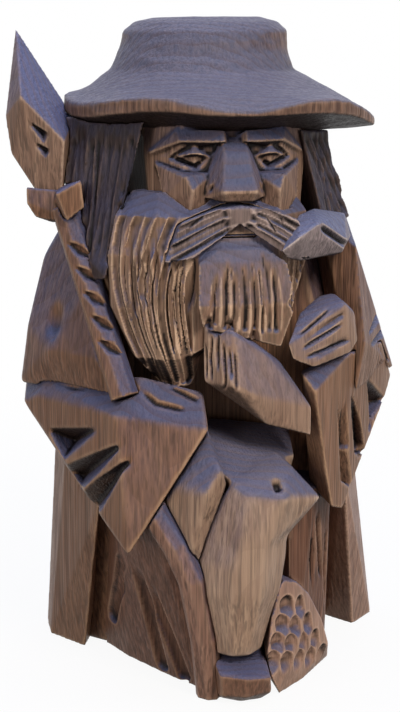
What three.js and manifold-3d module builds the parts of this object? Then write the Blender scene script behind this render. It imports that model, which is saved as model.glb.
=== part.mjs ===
// A seated old wanderer in a broad hat, carved in dark stained wood, with a long beard, a spear
// and a bird's head at the shoulder.
// Millimetres, +Z up, the figure looks along -Y and its right hand is on -X.
// The figure is glued up from separately carved blanks, faceted as a knife leaves them.
// Blanks early in the list carry the later ones, which are cut back from them by one glue line.
import * as THREE from "three";
import { ConvexGeometry } from "three/addons/geometries/ConvexGeometry.js";
import { mergeVertices } from "three/addons/utils/BufferGeometryUtils.js";
import Module from "manifold-3d";

const wasm = await Module();
wasm.setup();

// Joints between the blanks
const GLUE_GAP = 0.3;
const SLIVER = 0.02;
const DOWEL_RADIUS = 4;
const DOWEL_DEPTH = 12;
const DOWEL_SIDES = 12;

// Levels above the table
const HAT_TOP = 250;
const CROWN_BASE = 231;
const BRIM_LEVEL = 220;
const BROW_LEVEL = 207;
const EYE_LEVEL = 201;
const NOSE_LEVEL = 186;
const MOUTH_LEVEL = 177;
const CHIN_LEVEL = 165;
const SHOULDER_LEVEL = 178;
const NECK_LEVEL = 184;
const FIST_LEVEL = 137;
const HAND_LEVEL = 122;
const ELBOW_LEVEL = 109;
const BEARD_END = 118;
const LAP_LEVEL = 97;
const KNEE_LEVEL = 76;
const SLEEVE_TIP = 58;
const HEM_LEVEL = 19;
const SHOE_HEIGHT = 16;

// How far each part stands out in front of the axis
const FACE_FRONT = 46;
const BEARD_FRONT = 56;
const FIST_FRONT = 66;
const HAND_FRONT = 68;
const KNEE_FRONT = 70;
const TOE_FRONT = 66;

// Half widths and backs
const HEAD_HALF_WIDTH = 30;
const HEAD_BACK = 28;
const RIGHT_ELBOW = 73;
const LEFT_ELBOW = 78;
const CLOAK_BACK = 44;

// Hat
const BRIM_HALF_WIDTH = 59;
const BRIM_HALF_DEPTH = 58;
const BRIM_OFFSET = 4.5;
const BRIM_EDGE = 5;
const BRIM_THINNING = 0.8;
const BRIM_THIN_TURN = -1.66;
const BRIM_THIN_REACH = 20;
const BRIM_TIP_THINNING = 0.6;
const BRIM_TIP_REACH = 6;
const BRIM_DROOP_LEFT = 7;
const BRIM_DROOP_RIGHT = 2;
const BRIM_WAVE = 1.2;
const BRIM_WAVES = 5;
const BRIM_HOLLOW = 2;
const BRIM_FLARES = [0.7, 0.45, 0.2];
const BRIM_UNDERCUT = 12;
const HAT_SOCKET_RADIUS = 38;
const CROWN_FOOT_RADIUS = 35;
const CROWN_WAIST_RADIUS = 32.5;
const CROWN_TOP_RADIUS = 31.5;
const CROWN_FLARE = 6.5;
const CROWN_SIDE = -1.5;
const CROWN_SWAY = 3.5;
const CROWN_LEAN = 8;
const CROWN_DOME = 5;
const HAT_SIDES = 36;

// Face
const NOSE_LENGTH = 13;
const NOSE_HALF_WIDTH = 11;
const EYE_SPACING = 14;
const EYE_HALF_WIDTH = 7;
const EYE_DEPTH = 6;
const EYEBALL = 4.2;

// Spear
const SHAFT_RADIUS = 5.4;
const SHAFT_SIDES = 8;
const SPEARHEAD_TIP = [-71.5, 4, 246];
const SPEAR_NECK = [-57.5, -22, 182];
const SPEAR_GRIP = [-40, -47, 115];
const BUTT_LINE = [[-32.5, -50, 76], [-23, -56, 60], [-17.5, -58, 47], [-13, -58, 24], [-10, -55, 0]];
const WRAP_TOP = 167;
const WRAP_PITCH = 8.5;
const WRAP_TURNS = 5;
const WRAP_SLOPE = 3;

// Gouge marks on the rock, in rows that widen downwards
const SCALLOP_RADIUS = 3.4;
const SCALLOP_DEPTH = 1.9;
const SCALLOP_LENGTH = 7;
const SCALLOP_START = [18.5, 35.5];
const SCALLOP_PITCH = 6.2;
const SCALLOP_FALL = 2;
const SCALLOP_ROWS = 4;
const SCALLOP_ROW_DROP = 6.6;
const SCALLOP_ROW_SHIFT = 2;

// Knife cuts
const STRAND_WIDTH = 3.4;
const STRAND_DEPTH = 2.6;
const STRAND_STAGGER = 5;
const FOLD_DEPTH = 7;
const PLEAT_DEPTH = 11;
const CUT_CLEAR = 5;
const CUT_REACH = 1.3;
const SIGHT = 300;

const WOOD = { roughness: 0.55, metalness: 0 };
const STAIN = 0x6b4a38;
const DARK_STAIN = 0x553a2c;
const PALE_STAIN = 0x7a583f;
const BARE_DOWEL = 0xb08a5a;

// Solids

/** A closed geometry as a solid that can be joined and cut. */
function solidOf(geometry) {
  const bare = geometry.clone();
  bare.deleteAttribute("normal");
  bare.deleteAttribute("uv");
  const merged = mergeVertices(bare, 1e-4);
  return new wasm.Manifold(
    new wasm.Mesh({
      numProp: 3,
      vertProperties: merged.attributes.position.array,
      triVerts: new Uint32Array(merged.index.array),
    }),
  );
}

/** A solid as a geometry with flat facets. */
function geometryOf(solid) {
  const mesh = solid.getMesh();
  const geometry = new THREE.BufferGeometry();
  geometry.setAttribute("position", new THREE.BufferAttribute(new Float32Array(mesh.vertProperties), 3));
  geometry.setIndex(new THREE.BufferAttribute(new Uint32Array(mesh.triVerts), 1));
  const facetted = geometry.toNonIndexed();
  facetted.computeVertexNormals();
  return facetted;
}

/** The corners of a block moved out by gap on every side. */
function grown(corners, gap) {
  if (gap === 0) return corners;
  const signs = [-gap, gap];
  return corners.flatMap(([x, y, z]) =>
    signs.flatMap((i) => signs.flatMap((j) => signs.map((k) => [x + i, y + j, z + k]))),
  );
}

/** A block with flat facets between the given corners. */
function facets(corners, gap = 0) {
  return solidOf(new ConvexGeometry(grown(corners, gap).map((corner) => new THREE.Vector3(...corner))));
}

/** Several faceted blocks carved in one piece. */
function joined(list, gap = 0) {
  return list.map((corners) => facets(corners, gap)).reduce((body, next) => body.add(next));
}

/** A body through rings of equal point counts, lowest first, each counter-clockwise from above. */
function loft(rings) {
  const sides = rings[0].length;
  const positions = rings.flat(2);
  const triangles = [];
  for (let r = 0; r + 1 < rings.length; r++) {
    for (let i = 0; i < sides; i++) {
      const a = r * sides + i;
      const b = r * sides + ((i + 1) % sides);
      triangles.push(a, b, b + sides, a, b + sides, a + sides);
    }
  }
  const closeEnd = (ring, base, up) => {
    const hub = positions.length / 3;
    positions.push(...[0, 1, 2].map((k) => ring.reduce((sum, p) => sum + p[k], 0) / sides));
    for (let i = 0; i < sides; i++) {
      const a = base + i;
      const b = base + ((i + 1) % sides);
      triangles.push(...(up ? [a, b, hub] : [b, a, hub]));
    }
  };
  closeEnd(rings[0], 0, false);
  closeEnd(rings.at(-1), (rings.length - 1) * sides, true);
  const geometry = new THREE.BufferGeometry();
  geometry.setAttribute("position", new THREE.Float32BufferAttribute(positions, 3));
  geometry.setIndex(triangles);
  return solidOf(geometry);
}

/** One level of a chamfered block. */
function slab({ z, left, right, front, back, corner }, gap) {
  const [l, r, f, b] = [left - gap, right + gap, front - gap, back + gap];
  return [
    [l + corner, f, z],
    [r - corner, f, z],
    [r, f + corner, z],
    [r, b - corner, z],
    [r - corner, b, z],
    [l + corner, b, z],
    [l, b - corner, z],
    [l, f + corner, z],
  ];
}

/** A chamfered block through several levels, lowest first. */
function stack(levels, gap = 0) {
  const last = levels.length - 1;
  const lift = (i) => (i === last ? gap : 0) - (i === 0 ? gap : 0);
  return loft(levels.map((level, i) => slab({ ...level, z: level.z + lift(i) }, gap)));
}

/** The corners of one ring of a rod, square to its run. */
function rodRing(centre, along, radius, sides) {
  const across = new THREE.Vector3(1, 0, 0).cross(along).normalize();
  const third = along.clone().cross(across);
  return Array.from({ length: sides }, (_, i) => {
    const turn = (2 * Math.PI * (i + 0.5)) / sides;
    const out = across.clone().multiplyScalar(Math.cos(turn)).addScaledVector(third, Math.sin(turn));
    return centre.clone().addScaledVector(out, radius).toArray();
  });
}

/** The corners of each straight length of a rod along its points, mitred where two lengths meet. */
function bentRod(points, radius, sides) {
  const stops = points.map((point) => new THREE.Vector3(...point));
  const rings = stops.map((stop, i) => {
    const before = stops[Math.max(i - 1, 0)];
    const after = stops[Math.min(i + 1, stops.length - 1)];
    return rodRing(stop, after.clone().sub(before).normalize(), radius, sides);
  });
  return rings.slice(1).map((ring, i) => [...rings[i], ...ring]);
}

/** The corners of a straight rod between two points. */
const rod = (from, to, radius, sides) => bentRod([from, to], radius, sides)[0];

/** Corners that would reach under the table, brought up to it. */
const grounded = (corners) => corners.map(([x, y, z]) => [x, y, Math.max(z, 0)]);

const mirrored = (corners) => corners.map(([x, y, z]) => [-x, y, z]);

// Knife and gouge cuts, laid out as pencil marks [x, z] on the wood as seen from the front or the back

const FRONT = -1;
const BACK = 1;

/** The blank of a piece with the means to put marks and cuts on it. */
class Carving {
  constructor(solid, side = FRONT) {
    this.mesh = new THREE.Mesh(geometryOf(solid));
    this.side = side;
  }

  /** The point and the outward direction of the wood under a mark, or null beside the wood. */
  mark([x, z]) {
    const eye = new THREE.Vector3(x, this.side * SIGHT, z);
    const hit = new THREE.Raycaster(eye, new THREE.Vector3(0, -this.side, 0)).intersectObject(this.mesh)[0];
    return hit ? { at: hit.point, out: hit.face.normal.clone() } : null;
  }

  /** The marks with their common outward direction, or null when one of them misses the wood. */
  marks(...list) {
    const found = list.map((place) => this.mark(place));
    if (found.includes(null)) return null;
    const out = found.reduce((sum, { out: one }) => sum.add(one), new THREE.Vector3()).normalize();
    return { points: found.map(({ at }) => at), out };
  }

  /** A leaf-shaped cut from one mark to another, deepest in the middle. */
  leaf(from, to, width = STRAND_WIDTH, depth = STRAND_DEPTH) {
    const middle = [(from[0] + to[0]) / 2, (from[1] + to[1]) / 2];
    const found = this.marks(from, to, middle);
    if (!found) return [];
    const [a, b, m] = found.points;
    const across = b.clone().sub(a).cross(found.out).setLength(width / 2);
    const rim = [a, b, m.clone().add(across), m.clone().sub(across)];
    return [this.pit(rim, m, depth, found.out)];
  }

  /** A three-cornered chip, deepest under its middle. */
  chip(corners, depth) {
    const found = this.marks(...corners);
    if (!found) return [];
    const middle = new THREE.Vector3();
    found.points.forEach((point) => middle.addScaledVector(point, 1 / found.points.length));
    return [this.pit(found.points, middle, depth, found.out)];
  }

  /** A fold that starts at the apex and opens, ever deeper, towards the edge between two marks. */
  fold(apex, first, second, depth = FOLD_DEPTH) {
    const found = this.marks(apex, first, second);
    if (!found) return [];
    const [p, a, b] = found.points;
    const reach = (point) => point.clone().sub(p).multiplyScalar(CUT_REACH).add(p);
    const rim = [p, reach(a), reach(b)];
    return [this.pit(rim, rim[1].clone().lerp(rim[2], 0.5), depth, found.out)];
  }

  /** A round gouge mark. */
  scoop(place, radius, depth, stretch = 1) {
    const found = this.mark(place);
    if (!found) return [];
    const ball = new THREE.SphereGeometry(radius, 12, 8);
    ball.scale(1, 1, stretch);
    const centre = found.at.clone().addScaledVector(found.out, radius - depth);
    ball.translate(...centre.toArray());
    return [solidOf(ball)];
  }

  /** A gouge stroke driven up the wood to a mark, where it ends in a steep round stop. */
  gouge(place, radius, depth, length) {
    const found = this.mark(place);
    if (!found) return [];
    const down = new THREE.Vector3(0, 0, -1).projectOnPlane(found.out).setLength(length);
    const stop = found.at.clone().addScaledVector(found.out, radius - depth);
    const entry = stop.clone().add(down).addScaledVector(found.out, depth);
    return [facets(rod(stop.toArray(), entry.toArray(), radius, DOWEL_SIDES))];
  }

  /** A cutter between a rim on the wood and one deepest point under it. */
  pit(rim, over, depth, out) {
    const clear = rim.map((point) => point.clone().addScaledVector(out, CUT_CLEAR));
    return solidOf(new ConvexGeometry([...rim, ...clear, over.clone().addScaledVector(out, -depth)]));
  }
}

/** Strand lines between two rows of marks: each row is given by its first and last mark. */
function strands(carving, count, [topA, topB], [endA, endB], width, depth) {
  return Array.from({ length: count }, (_, i) => {
    const t = count > 1 ? i / (count - 1) : 0.5;
    const stagger = STRAND_STAGGER * (((i * 3) % 5) / 4 - 0.5) * Math.sign(topA[1] - endA[1]);
    const between = (p, q, shift) => [p[0] + (q[0] - p[0]) * t, p[1] + (q[1] - p[1]) * t + shift];
    return carving.leaf(between(topA, topB, stagger / 2), between(endA, endB, stagger), width, depth);
  }).flat();
}

// Trunk: cloaked back, seat and the flat that carries the head

const trunkLevels = [
  { z: 0, left: -54, right: 58, front: -2, back: CLOAK_BACK, corner: 21 },
  { z: 50, left: -50, right: 53, front: -24, back: CLOAK_BACK - 2, corner: 24 },
  { z: 92, left: -52, right: 55, front: -28, back: CLOAK_BACK - 4, corner: 16 },
  { z: 140, left: -52, right: 55, front: -28, back: CLOAK_BACK - 8, corner: 18 },
  { z: SHOULDER_LEVEL - 10, left: -46, right: 48, front: -26, back: 30, corner: 18 },
  { z: NECK_LEVEL, left: -26, right: 28, front: -20, back: 22, corner: 10 },
];

const seatBlock = [
  [-36, -4, 0],
  [-14, -36, 0],
  [20, -36, 0],
  [42, -12, 0],
  [-34, -12, 66],
  [-16, -34, 70],
  [22, -34, 70],
  [40, -14, 66],
  [-30, 10, 0],
  [40, 10, 0],
  [-30, 10, 70],
  [40, 10, 70],
];

const trunkBlank = (gap) => stack(trunkLevels, gap).add(facets(seatBlock, gap));

function trunkCuts(blank) {
  const back = new Carving(blank, BACK);
  return [
    ...strands(back, 4, [[-31, 137], [34, 137]], [[-33, 9], [37, 9]], 9, 5),
    ...strands(back, 3, [[-22.5, 96], [24.5, 96]], [[-25, 8], [27, 8]], 6, 3.5),
  ];
}

// Head with a calm, plain face on even proportions

const headLevels = [
  { z: CHIN_LEVEL - 6, left: -22, right: 22, front: -FACE_FRONT + 4, back: -10, corner: 8 },
  { z: MOUTH_LEVEL + 3, left: -28, right: 28, front: -FACE_FRONT, back: HEAD_BACK - 4, corner: 10 },
  {
    z: EYE_LEVEL,
    left: -HEAD_HALF_WIDTH,
    right: HEAD_HALF_WIDTH,
    front: -FACE_FRONT,
    back: HEAD_BACK,
    corner: 12,
  },
  {
    z: BRIM_LEVEL - 4,
    left: -HEAD_HALF_WIDTH,
    right: HEAD_HALF_WIDTH,
    front: -FACE_FRONT + 3,
    back: HEAD_BACK,
    corner: 12,
  },
];

const noseBlock = [
  [-4, -FACE_FRONT, BROW_LEVEL + 2],
  [4, -FACE_FRONT, BROW_LEVEL + 2],
  [-4.5, -FACE_FRONT - 6, BROW_LEVEL - 4],
  [4.5, -FACE_FRONT - 6, BROW_LEVEL - 4],
  [-6, -FACE_FRONT - NOSE_LENGTH, NOSE_LEVEL + 4],
  [6, -FACE_FRONT - NOSE_LENGTH, NOSE_LEVEL + 4],
  [-5, -FACE_FRONT - NOSE_LENGTH + 2, NOSE_LEVEL],
  [5, -FACE_FRONT - NOSE_LENGTH + 2, NOSE_LEVEL],
  [-NOSE_HALF_WIDTH, -FACE_FRONT - 3, NOSE_LEVEL + 1],
  [NOSE_HALF_WIDTH, -FACE_FRONT - 3, NOSE_LEVEL + 1],
  [-NOSE_HALF_WIDTH, -FACE_FRONT - 1, NOSE_LEVEL + 7],
  [NOSE_HALF_WIDTH, -FACE_FRONT - 1, NOSE_LEVEL + 7],
];

const rightBrow = [
  [-29, -FACE_FRONT + 10, BROW_LEVEL - 5],
  [-19, -FACE_FRONT, BROW_LEVEL],
  [-20, -FACE_FRONT + 3, BROW_LEVEL + 4],
  [-4, -FACE_FRONT - 6, BROW_LEVEL],
  [-4, -FACE_FRONT - 4, BROW_LEVEL + 4],
  [-18, -FACE_FRONT + 5, BROW_LEVEL - 3],
  [0, -FACE_FRONT + 6, BROW_LEVEL],
  [-24, -FACE_FRONT + 14, BROW_LEVEL + 3],
];

const rightCheek = [
  [-7, -FACE_FRONT - 1, EYE_LEVEL - 5],
  [-27, -FACE_FRONT + 8, EYE_LEVEL - 2],
  [-18, -FACE_FRONT - 5, EYE_LEVEL - 6],
  [-16, -FACE_FRONT - 7, NOSE_LEVEL + 4],
  [-25, -FACE_FRONT + 3, NOSE_LEVEL],
  [-17, -FACE_FRONT - 3, MOUTH_LEVEL],
  [-9, -FACE_FRONT - 1, NOSE_LEVEL - 3],
  [-14, -FACE_FRONT + 8, EYE_LEVEL - 5],
];

const rightEye = [
  [-EYE_SPACING - EYEBALL - 1, -FACE_FRONT + 3, EYE_LEVEL],
  [-EYE_SPACING + EYEBALL + 1, -FACE_FRONT + 1, EYE_LEVEL],
  [-EYE_SPACING, -FACE_FRONT - 1, EYE_LEVEL + 1],
  [-EYE_SPACING, -FACE_FRONT, EYE_LEVEL + EYEBALL / 2 + 1],
  [-EYE_SPACING, -FACE_FRONT, EYE_LEVEL - EYEBALL / 2],
  [-EYE_SPACING, -FACE_FRONT + 9, EYE_LEVEL],
];

const rightLid = [
  [-EYE_SPACING - EYE_HALF_WIDTH, -FACE_FRONT + 5, EYE_LEVEL],
  [-EYE_SPACING + EYE_HALF_WIDTH, -FACE_FRONT + 1, EYE_LEVEL],
  [-EYE_SPACING - 2, -FACE_FRONT - 2, EYE_LEVEL + 1.5],
  [-EYE_SPACING + 2, -FACE_FRONT - 2, EYE_LEVEL + 1.5],
  [-EYE_SPACING, -FACE_FRONT - 0.5, EYE_LEVEL + EYEBALL],
  [-EYE_SPACING - 5, -FACE_FRONT + 9, EYE_LEVEL + 3],
  [-EYE_SPACING + 4, -FACE_FRONT + 9, EYE_LEVEL + 3],
];

const eyeBlocks = [rightEye, rightLid, mirrored(rightEye), mirrored(rightLid)];

const lowerLip = [
  [-9, -FACE_FRONT - 6, MOUTH_LEVEL - 2],
  [9, -FACE_FRONT - 6, MOUTH_LEVEL - 2],
  [-6, -FACE_FRONT - 9, MOUTH_LEVEL - 3],
  [6, -FACE_FRONT - 9, MOUTH_LEVEL - 3],
  [-7, -FACE_FRONT - 6, MOUTH_LEVEL - 6],
  [7, -FACE_FRONT - 6, MOUTH_LEVEL - 6],
  [-8, -FACE_FRONT + 4, MOUTH_LEVEL - 1],
  [8, -FACE_FRONT + 4, MOUTH_LEVEL - 7],
];

const rightFace = [rightBrow, rightCheek];

const headBlank = (gap) =>
  stack(headLevels, gap).add(joined([noseBlock, lowerLip, ...rightFace, ...rightFace.map(mirrored)], gap));

function headCuts(blank) {
  const face = new Carving(blank);
  const socket = (side) =>
    face.chip(
      [
        [side * (EYE_SPACING - EYE_HALF_WIDTH), EYE_LEVEL + 2],
        [side * (EYE_SPACING + EYE_HALF_WIDTH + 2), EYE_LEVEL],
        [side * (EYE_SPACING - 1), EYE_LEVEL - EYEBALL],
        [side * (EYE_SPACING + 3), EYE_LEVEL + EYEBALL],
      ],
      EYE_DEPTH,
    );
  const nostril = (side) =>
    face.leaf(
      [side * NOSE_HALF_WIDTH * 0.7, NOSE_LEVEL + 8],
      [side * NOSE_HALF_WIDTH * 0.95, NOSE_LEVEL + 2],
      2,
      1.6,
    );
  return [-1, 1].flatMap((side) => [...socket(side), ...nostril(side)]);
}

// Moustache and beard

const rightMoustache = [
  [1, -FACE_FRONT - 12, NOSE_LEVEL - 1],
  [1, -FACE_FRONT - 12, MOUTH_LEVEL + 2],
  [1, -FACE_FRONT + 6, NOSE_LEVEL - 1],
  [-10, -FACE_FRONT - 14, NOSE_LEVEL - 2],
  [-21, -FACE_FRONT - 13, MOUTH_LEVEL + 3],
  [-27, -FACE_FRONT - 11, CHIN_LEVEL],
  [-17, -FACE_FRONT - 14, CHIN_LEVEL + 2],
  [-24, -FACE_FRONT + 6, MOUTH_LEVEL - 4],
];

const moustacheBlank = (gap) => joined([rightMoustache, mirrored(rightMoustache)], gap);

function moustacheCuts(blank) {
  const front = new Carving(blank);
  const wing = (side) =>
    strands(
      front,
      4,
      [[side * 4, MOUTH_LEVEL + 4], [side * 11, NOSE_LEVEL - 3]],
      [[side * 17, MOUTH_LEVEL - 6], [side * 23, MOUTH_LEVEL - 5]],
      2.4,
      1.8,
    );
  return [...wing(-1), ...wing(1)];
}

const beardLevels = [
  { z: BEARD_END, left: -25, right: -14, front: -BEARD_FRONT + 8, back: -38, corner: 4 },
  { z: 130, left: -36, right: -12, front: -BEARD_FRONT + 1, back: -32, corner: 7 },
  { z: 148, left: -44, right: 24, front: -BEARD_FRONT, back: -28, corner: 12 },
  { z: CHIN_LEVEL + 2, left: -45, right: 30, front: -BEARD_FRONT, back: -28, corner: 14 },
  { z: MOUTH_LEVEL + 4, left: -42, right: 29, front: -BEARD_FRONT + 2, back: -28, corner: 13 },
  { z: NOSE_LEVEL + 3, left: -35, right: 24, front: -FACE_FRONT + 1, back: -28, corner: 8 },
];

const chinBlock = [
  [-8, -BEARD_FRONT - 1, MOUTH_LEVEL - 7],
  [9, -BEARD_FRONT - 1, MOUTH_LEVEL - 7],
  [-15, -BEARD_FRONT - 3, CHIN_LEVEL],
  [17, -BEARD_FRONT - 3, CHIN_LEVEL],
  [-16, -BEARD_FRONT - 7, 150],
  [20, -BEARD_FRONT - 6, 150],
  [-14, -BEARD_FRONT - 5, 142],
  [15, -BEARD_FRONT - 4, 134],
  [-12, -BEARD_FRONT + 12, MOUTH_LEVEL - 7],
  [12, -BEARD_FRONT + 12, 134],
];

const beardBlank = (gap) => stack(beardLevels, gap).add(facets(chinBlock, gap));

function beardCuts(blank) {
  const front = new Carving(blank);
  const hankRoots = [[-38, MOUTH_LEVEL + 4], [-20, MOUTH_LEVEL + 3]];
  const chinRoots = [[-7, CHIN_LEVEL + 2], [9, CHIN_LEVEL + 2]];
  return [
    ...strands(front, 8, hankRoots, [[-36, 136], [-17, 124]], 2.6, 1.3),
    ...strands(front, 6, chinRoots, [[-13, 146], [16, 139]], 2.6, 1.2),
    ...front.fold([-12, 149], [-13.5, 143.5], [-10, 143], 6),
    ...front.fold([-4, 148], [-6, 142], [-2, 141], 6),
    ...front.fold([5, 146], [3, 139], [7, 138], 6),
    ...strands(front, 2, [[21, CHIN_LEVEL], [26, CHIN_LEVEL]], [[20, 145], [24, 148]], 3, 2.4),
  ];
}

// Hair under the brim

const HAIR_TOP = BRIM_LEVEL - 6;

const rightHair = [
  [-31, -41, HAIR_TOP],
  [-46, -44, 158],
  [-58, -8, HAIR_TOP],
  [-58, -22, 172],
  [-52, -32, 156],
  [-36, 16, HAIR_TOP],
  [-46, 16, 172],
  [-50, 8, 160],
];

const leftHair = [
  [27, -36, HAIR_TOP],
  [42, -20, HAIR_TOP - 2],
  [50, -27, 176],
  [36, -42, 174],
  [28, 16, HAIR_TOP],
  [38, 16, HAIR_TOP],
  [47, 16, 174],
  [30, -20, 176],
];

const backHair = [
  [-34, 14, HAIR_TOP],
  [36, 14, HAIR_TOP],
  [-22, 33, HAIR_TOP],
  [24, 33, HAIR_TOP],
  [-42, 18, 176],
  [44, 18, 176],
  [-36, 34, 172],
  [38, 34, 172],
  [-14, 42, 170],
  [16, 42, 170],
  [-30, 37, 154],
  [32, 37, 154],
  [-12, 40, 142],
  [14, 40, 142],
  [-24, 26, 146],
  [26, 26, 146],
];

function rightHairCuts(blank) {
  const front = new Carving(blank);
  return strands(front, 4, [[-50, HAIR_TOP - 3], [-36, HAIR_TOP - 3]], [[-52, 166], [-44, 164]], 3, 2.4);
}

function leftHairCuts(blank) {
  const front = new Carving(blank);
  return strands(front, 4, [[31, HAIR_TOP - 5], [39, HAIR_TOP - 6]], [[37, 178], [47, 178]], 2.6, 2.2);
}

function backHairCuts(blank) {
  const back = new Carving(blank, BACK);
  return strands(back, 6, [[-26, HAIR_TOP - 3], [27, HAIR_TOP - 3]], [[-28, 152], [29, 152]], 5, 3.4);
}

// Hat

/** A ring of the hat about its own centre. */
function hatRing(halfWidth, halfDepth, level, [x, y]) {
  return Array.from({ length: HAT_SIDES }, (_, i) => {
    const turn = (2 * Math.PI * i) / HAT_SIDES;
    return [x + halfWidth * Math.cos(turn), y + halfDepth * Math.sin(turn), level(turn)];
  });
}

/** The crown's centre at a level: the crown leans back and to the left as it rises. */
function crownCentre(level) {
  const rise = (level - CROWN_BASE) / (HAT_TOP - CROWN_BASE);
  return [CROWN_SIDE + CROWN_SWAY * rise, CROWN_LEAN * rise];
}

/** The height of the brim's edge round the hat: it droops at the sides and lifts in soft waves. */
function brimEdge(turn) {
  const side = Math.cos(turn);
  const droop = side > 0 ? BRIM_DROOP_LEFT : BRIM_DROOP_RIGHT;
  return BRIM_LEVEL - droop * side * side + BRIM_WAVE * Math.sin(BRIM_WAVES * turn);
}

/** The thickness of the brim's edge: it thins to a knife edge at the front and tapers at the left. */
function brimThickness(turn) {
  const front = Math.max(0, Math.cos(turn - BRIM_THIN_TURN)) ** BRIM_THIN_REACH;
  const left = Math.max(0, Math.cos(turn)) ** BRIM_TIP_REACH;
  return BRIM_EDGE * (1 - BRIM_THINNING * front) * (1 - BRIM_TIP_THINNING * left);
}

function hatBlank(gap) {
  const crown = (radius, level, lift = 0) =>
    hatRing(radius + gap, radius + gap, () => level + lift, crownCentre(level));
  const under = (turn) => brimEdge(turn) - BRIM_EDGE / 2;
  const rim = (level) =>
    hatRing(BRIM_HALF_WIDTH + gap, BRIM_HALF_DEPTH + gap, level, [BRIM_OFFSET, -BRIM_OFFSET]);
  const flare = (reach) => {
    const radius = CROWN_FOOT_RADIUS + (BRIM_HALF_WIDTH - CROWN_FOOT_RADIUS) * reach + gap;
    const rise = (CROWN_BASE - BRIM_LEVEL - BRIM_EDGE / 2) * (1 - reach) ** BRIM_HOLLOW;
    const level = (turn) => BRIM_LEVEL + BRIM_EDGE / 2 + rise + (brimEdge(turn) - BRIM_LEVEL) * reach ** 2;
    const centre = [CROWN_SIDE + (BRIM_OFFSET - CROWN_SIDE) * reach, -BRIM_OFFSET * reach];
    return hatRing(radius, radius, (turn) => level(turn) + gap, centre);
  };
  const socket = HAT_SOCKET_RADIUS + gap;
  return loft([
    hatRing(socket, socket, () => BRIM_LEVEL - BRIM_UNDERCUT - gap, [0, 0]),
    rim((turn) => under(turn) - gap),
    rim((turn) => under(turn) + brimThickness(turn) + gap),
    ...BRIM_FLARES.map(flare),
    crown(CROWN_FOOT_RADIUS, CROWN_BASE, gap),
    crown(CROWN_WAIST_RADIUS, CROWN_BASE + CROWN_FLARE),
    crown(CROWN_TOP_RADIUS, HAT_TOP - CROWN_DOME),
    crown(CROWN_TOP_RADIUS - CROWN_DOME * 0.8, HAT_TOP - CROWN_DOME / 3, gap),
    crown(CROWN_TOP_RADIUS - CROWN_DOME * 2.2, HAT_TOP, gap),
  ]);
}

// Bird's head at the left shoulder

const ravenBlock = [
  [14.5, -61, 169],
  [17, -60, 166],
  [20, -64, 174],
  [28.5, -59, 178],
  [43, -46, 169],
  [42, -44, 165],
  [22.5, -57, 164.5],
  [23, -52, 180.5],
  [30.5, -46, 182],
  [46, -34, 178.5],
  [48.5, -34, 170],
  [40, -20, 178],
  [44, -20, 162],
];

const ravenCuts = (blank) => new Carving(blank).chip([[30.5, 177], [46, 175.5], [44.5, 170]], 4);

// Shoulders and sleeves

const rightShoulder = [
  [-38, -26, SHOULDER_LEVEL],
  [-56, -4, SHOULDER_LEVEL - 4],
  [-52, 16, SHOULDER_LEVEL - 4],
  [-38, 24, SHOULDER_LEVEL + 2],
  [-46, -34, 162],
  [-63, 2, 160],
  [-60, 20, 156],
  [-46, 31, 158],
  [-70, 0, 134],
  [-66, 22, 132],
  [-52, 35, 130],
  [-48, -40, 127],
  [-64, -18, 127],
  [-RIGHT_ELBOW, 2, ELBOW_LEVEL + 2],
  [-RIGHT_ELBOW + 4, 22, ELBOW_LEVEL],
  [-54, 36, ELBOW_LEVEL],
  [-44, -42, ELBOW_LEVEL + 3],
  [-40, 20, ELBOW_LEVEL - 2],
];

const rightShoulderCuts = (blank) => new Carving(blank).scoop([-61, 140], 6.5, 2, 1.6);

const leftShoulder = [
  [38, -26, SHOULDER_LEVEL],
  [54, -4, SHOULDER_LEVEL],
  [52, 16, SHOULDER_LEVEL - 3],
  [38, 24, SHOULDER_LEVEL + 2],
  [50, -36, 166],
  [53, -40, 130],
  [60, 5, 156],
  [58, 20, 154],
  [46, 31, 156],
  [69, 2, 130],
  [67, 22, 130],
  [53, 35, 128],
  [LEFT_ELBOW, 0, ELBOW_LEVEL + 2],
  [LEFT_ELBOW - 4, 22, ELBOW_LEVEL],
  [56, 36, ELBOW_LEVEL],
  [50, -40, ELBOW_LEVEL + 3],
  [40, 20, ELBOW_LEVEL - 2],
];

function leftShoulderCuts(blank) {
  const front = new Carving(blank);
  return [
    ...front.fold([55, 131], [65, 136.5], [67, 132.5], 6),
    ...front.fold([54, 127], [69, 129], [70, 125.5], 5),
  ];
}

const rightSleeve = [
  [-RIGHT_ELBOW + 3, 8, ELBOW_LEVEL + 2],
  [-RIGHT_ELBOW + 1, 0, ELBOW_LEVEL - 5],
  [-RIGHT_ELBOW + 4, 20, ELBOW_LEVEL - 4],
  [-54, 35, ELBOW_LEVEL - 2],
  [-64, -10, ELBOW_LEVEL + 6],
  [-40, -40, ELBOW_LEVEL + 11],
  [-33, -46, ELBOW_LEVEL + 13],
  [-12, -53, ELBOW_LEVEL + 8],
  [-68, -8, ELBOW_LEVEL - 1],
  [-44, -50, ELBOW_LEVEL],
  [-12, -61, ELBOW_LEVEL - 4],
  [-41, -57, SLEEVE_TIP],
  [-36, -40, SLEEVE_TIP + 2],
  [-10, -44, 98],
  [-56, -14, 78],
  [-56, 6, 80],
  [-52, 28, 86],
];

function rightSleeveCuts(blank) {
  const front = new Carving(blank);
  return [
    ...front.fold([-48.5, 103], [-61, 98], [-57.5, 89.5], PLEAT_DEPTH),
    ...front.fold([-40.5, 99.5], [-57, 86.5], [-52.5, 80], PLEAT_DEPTH),
    ...front.fold([-37.5, 94.5], [-53, 78.5], [-49, 71], PLEAT_DEPTH),
    ...front.leaf([-64, 113], [-48, 115], 3, 2),
  ];
}

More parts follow.
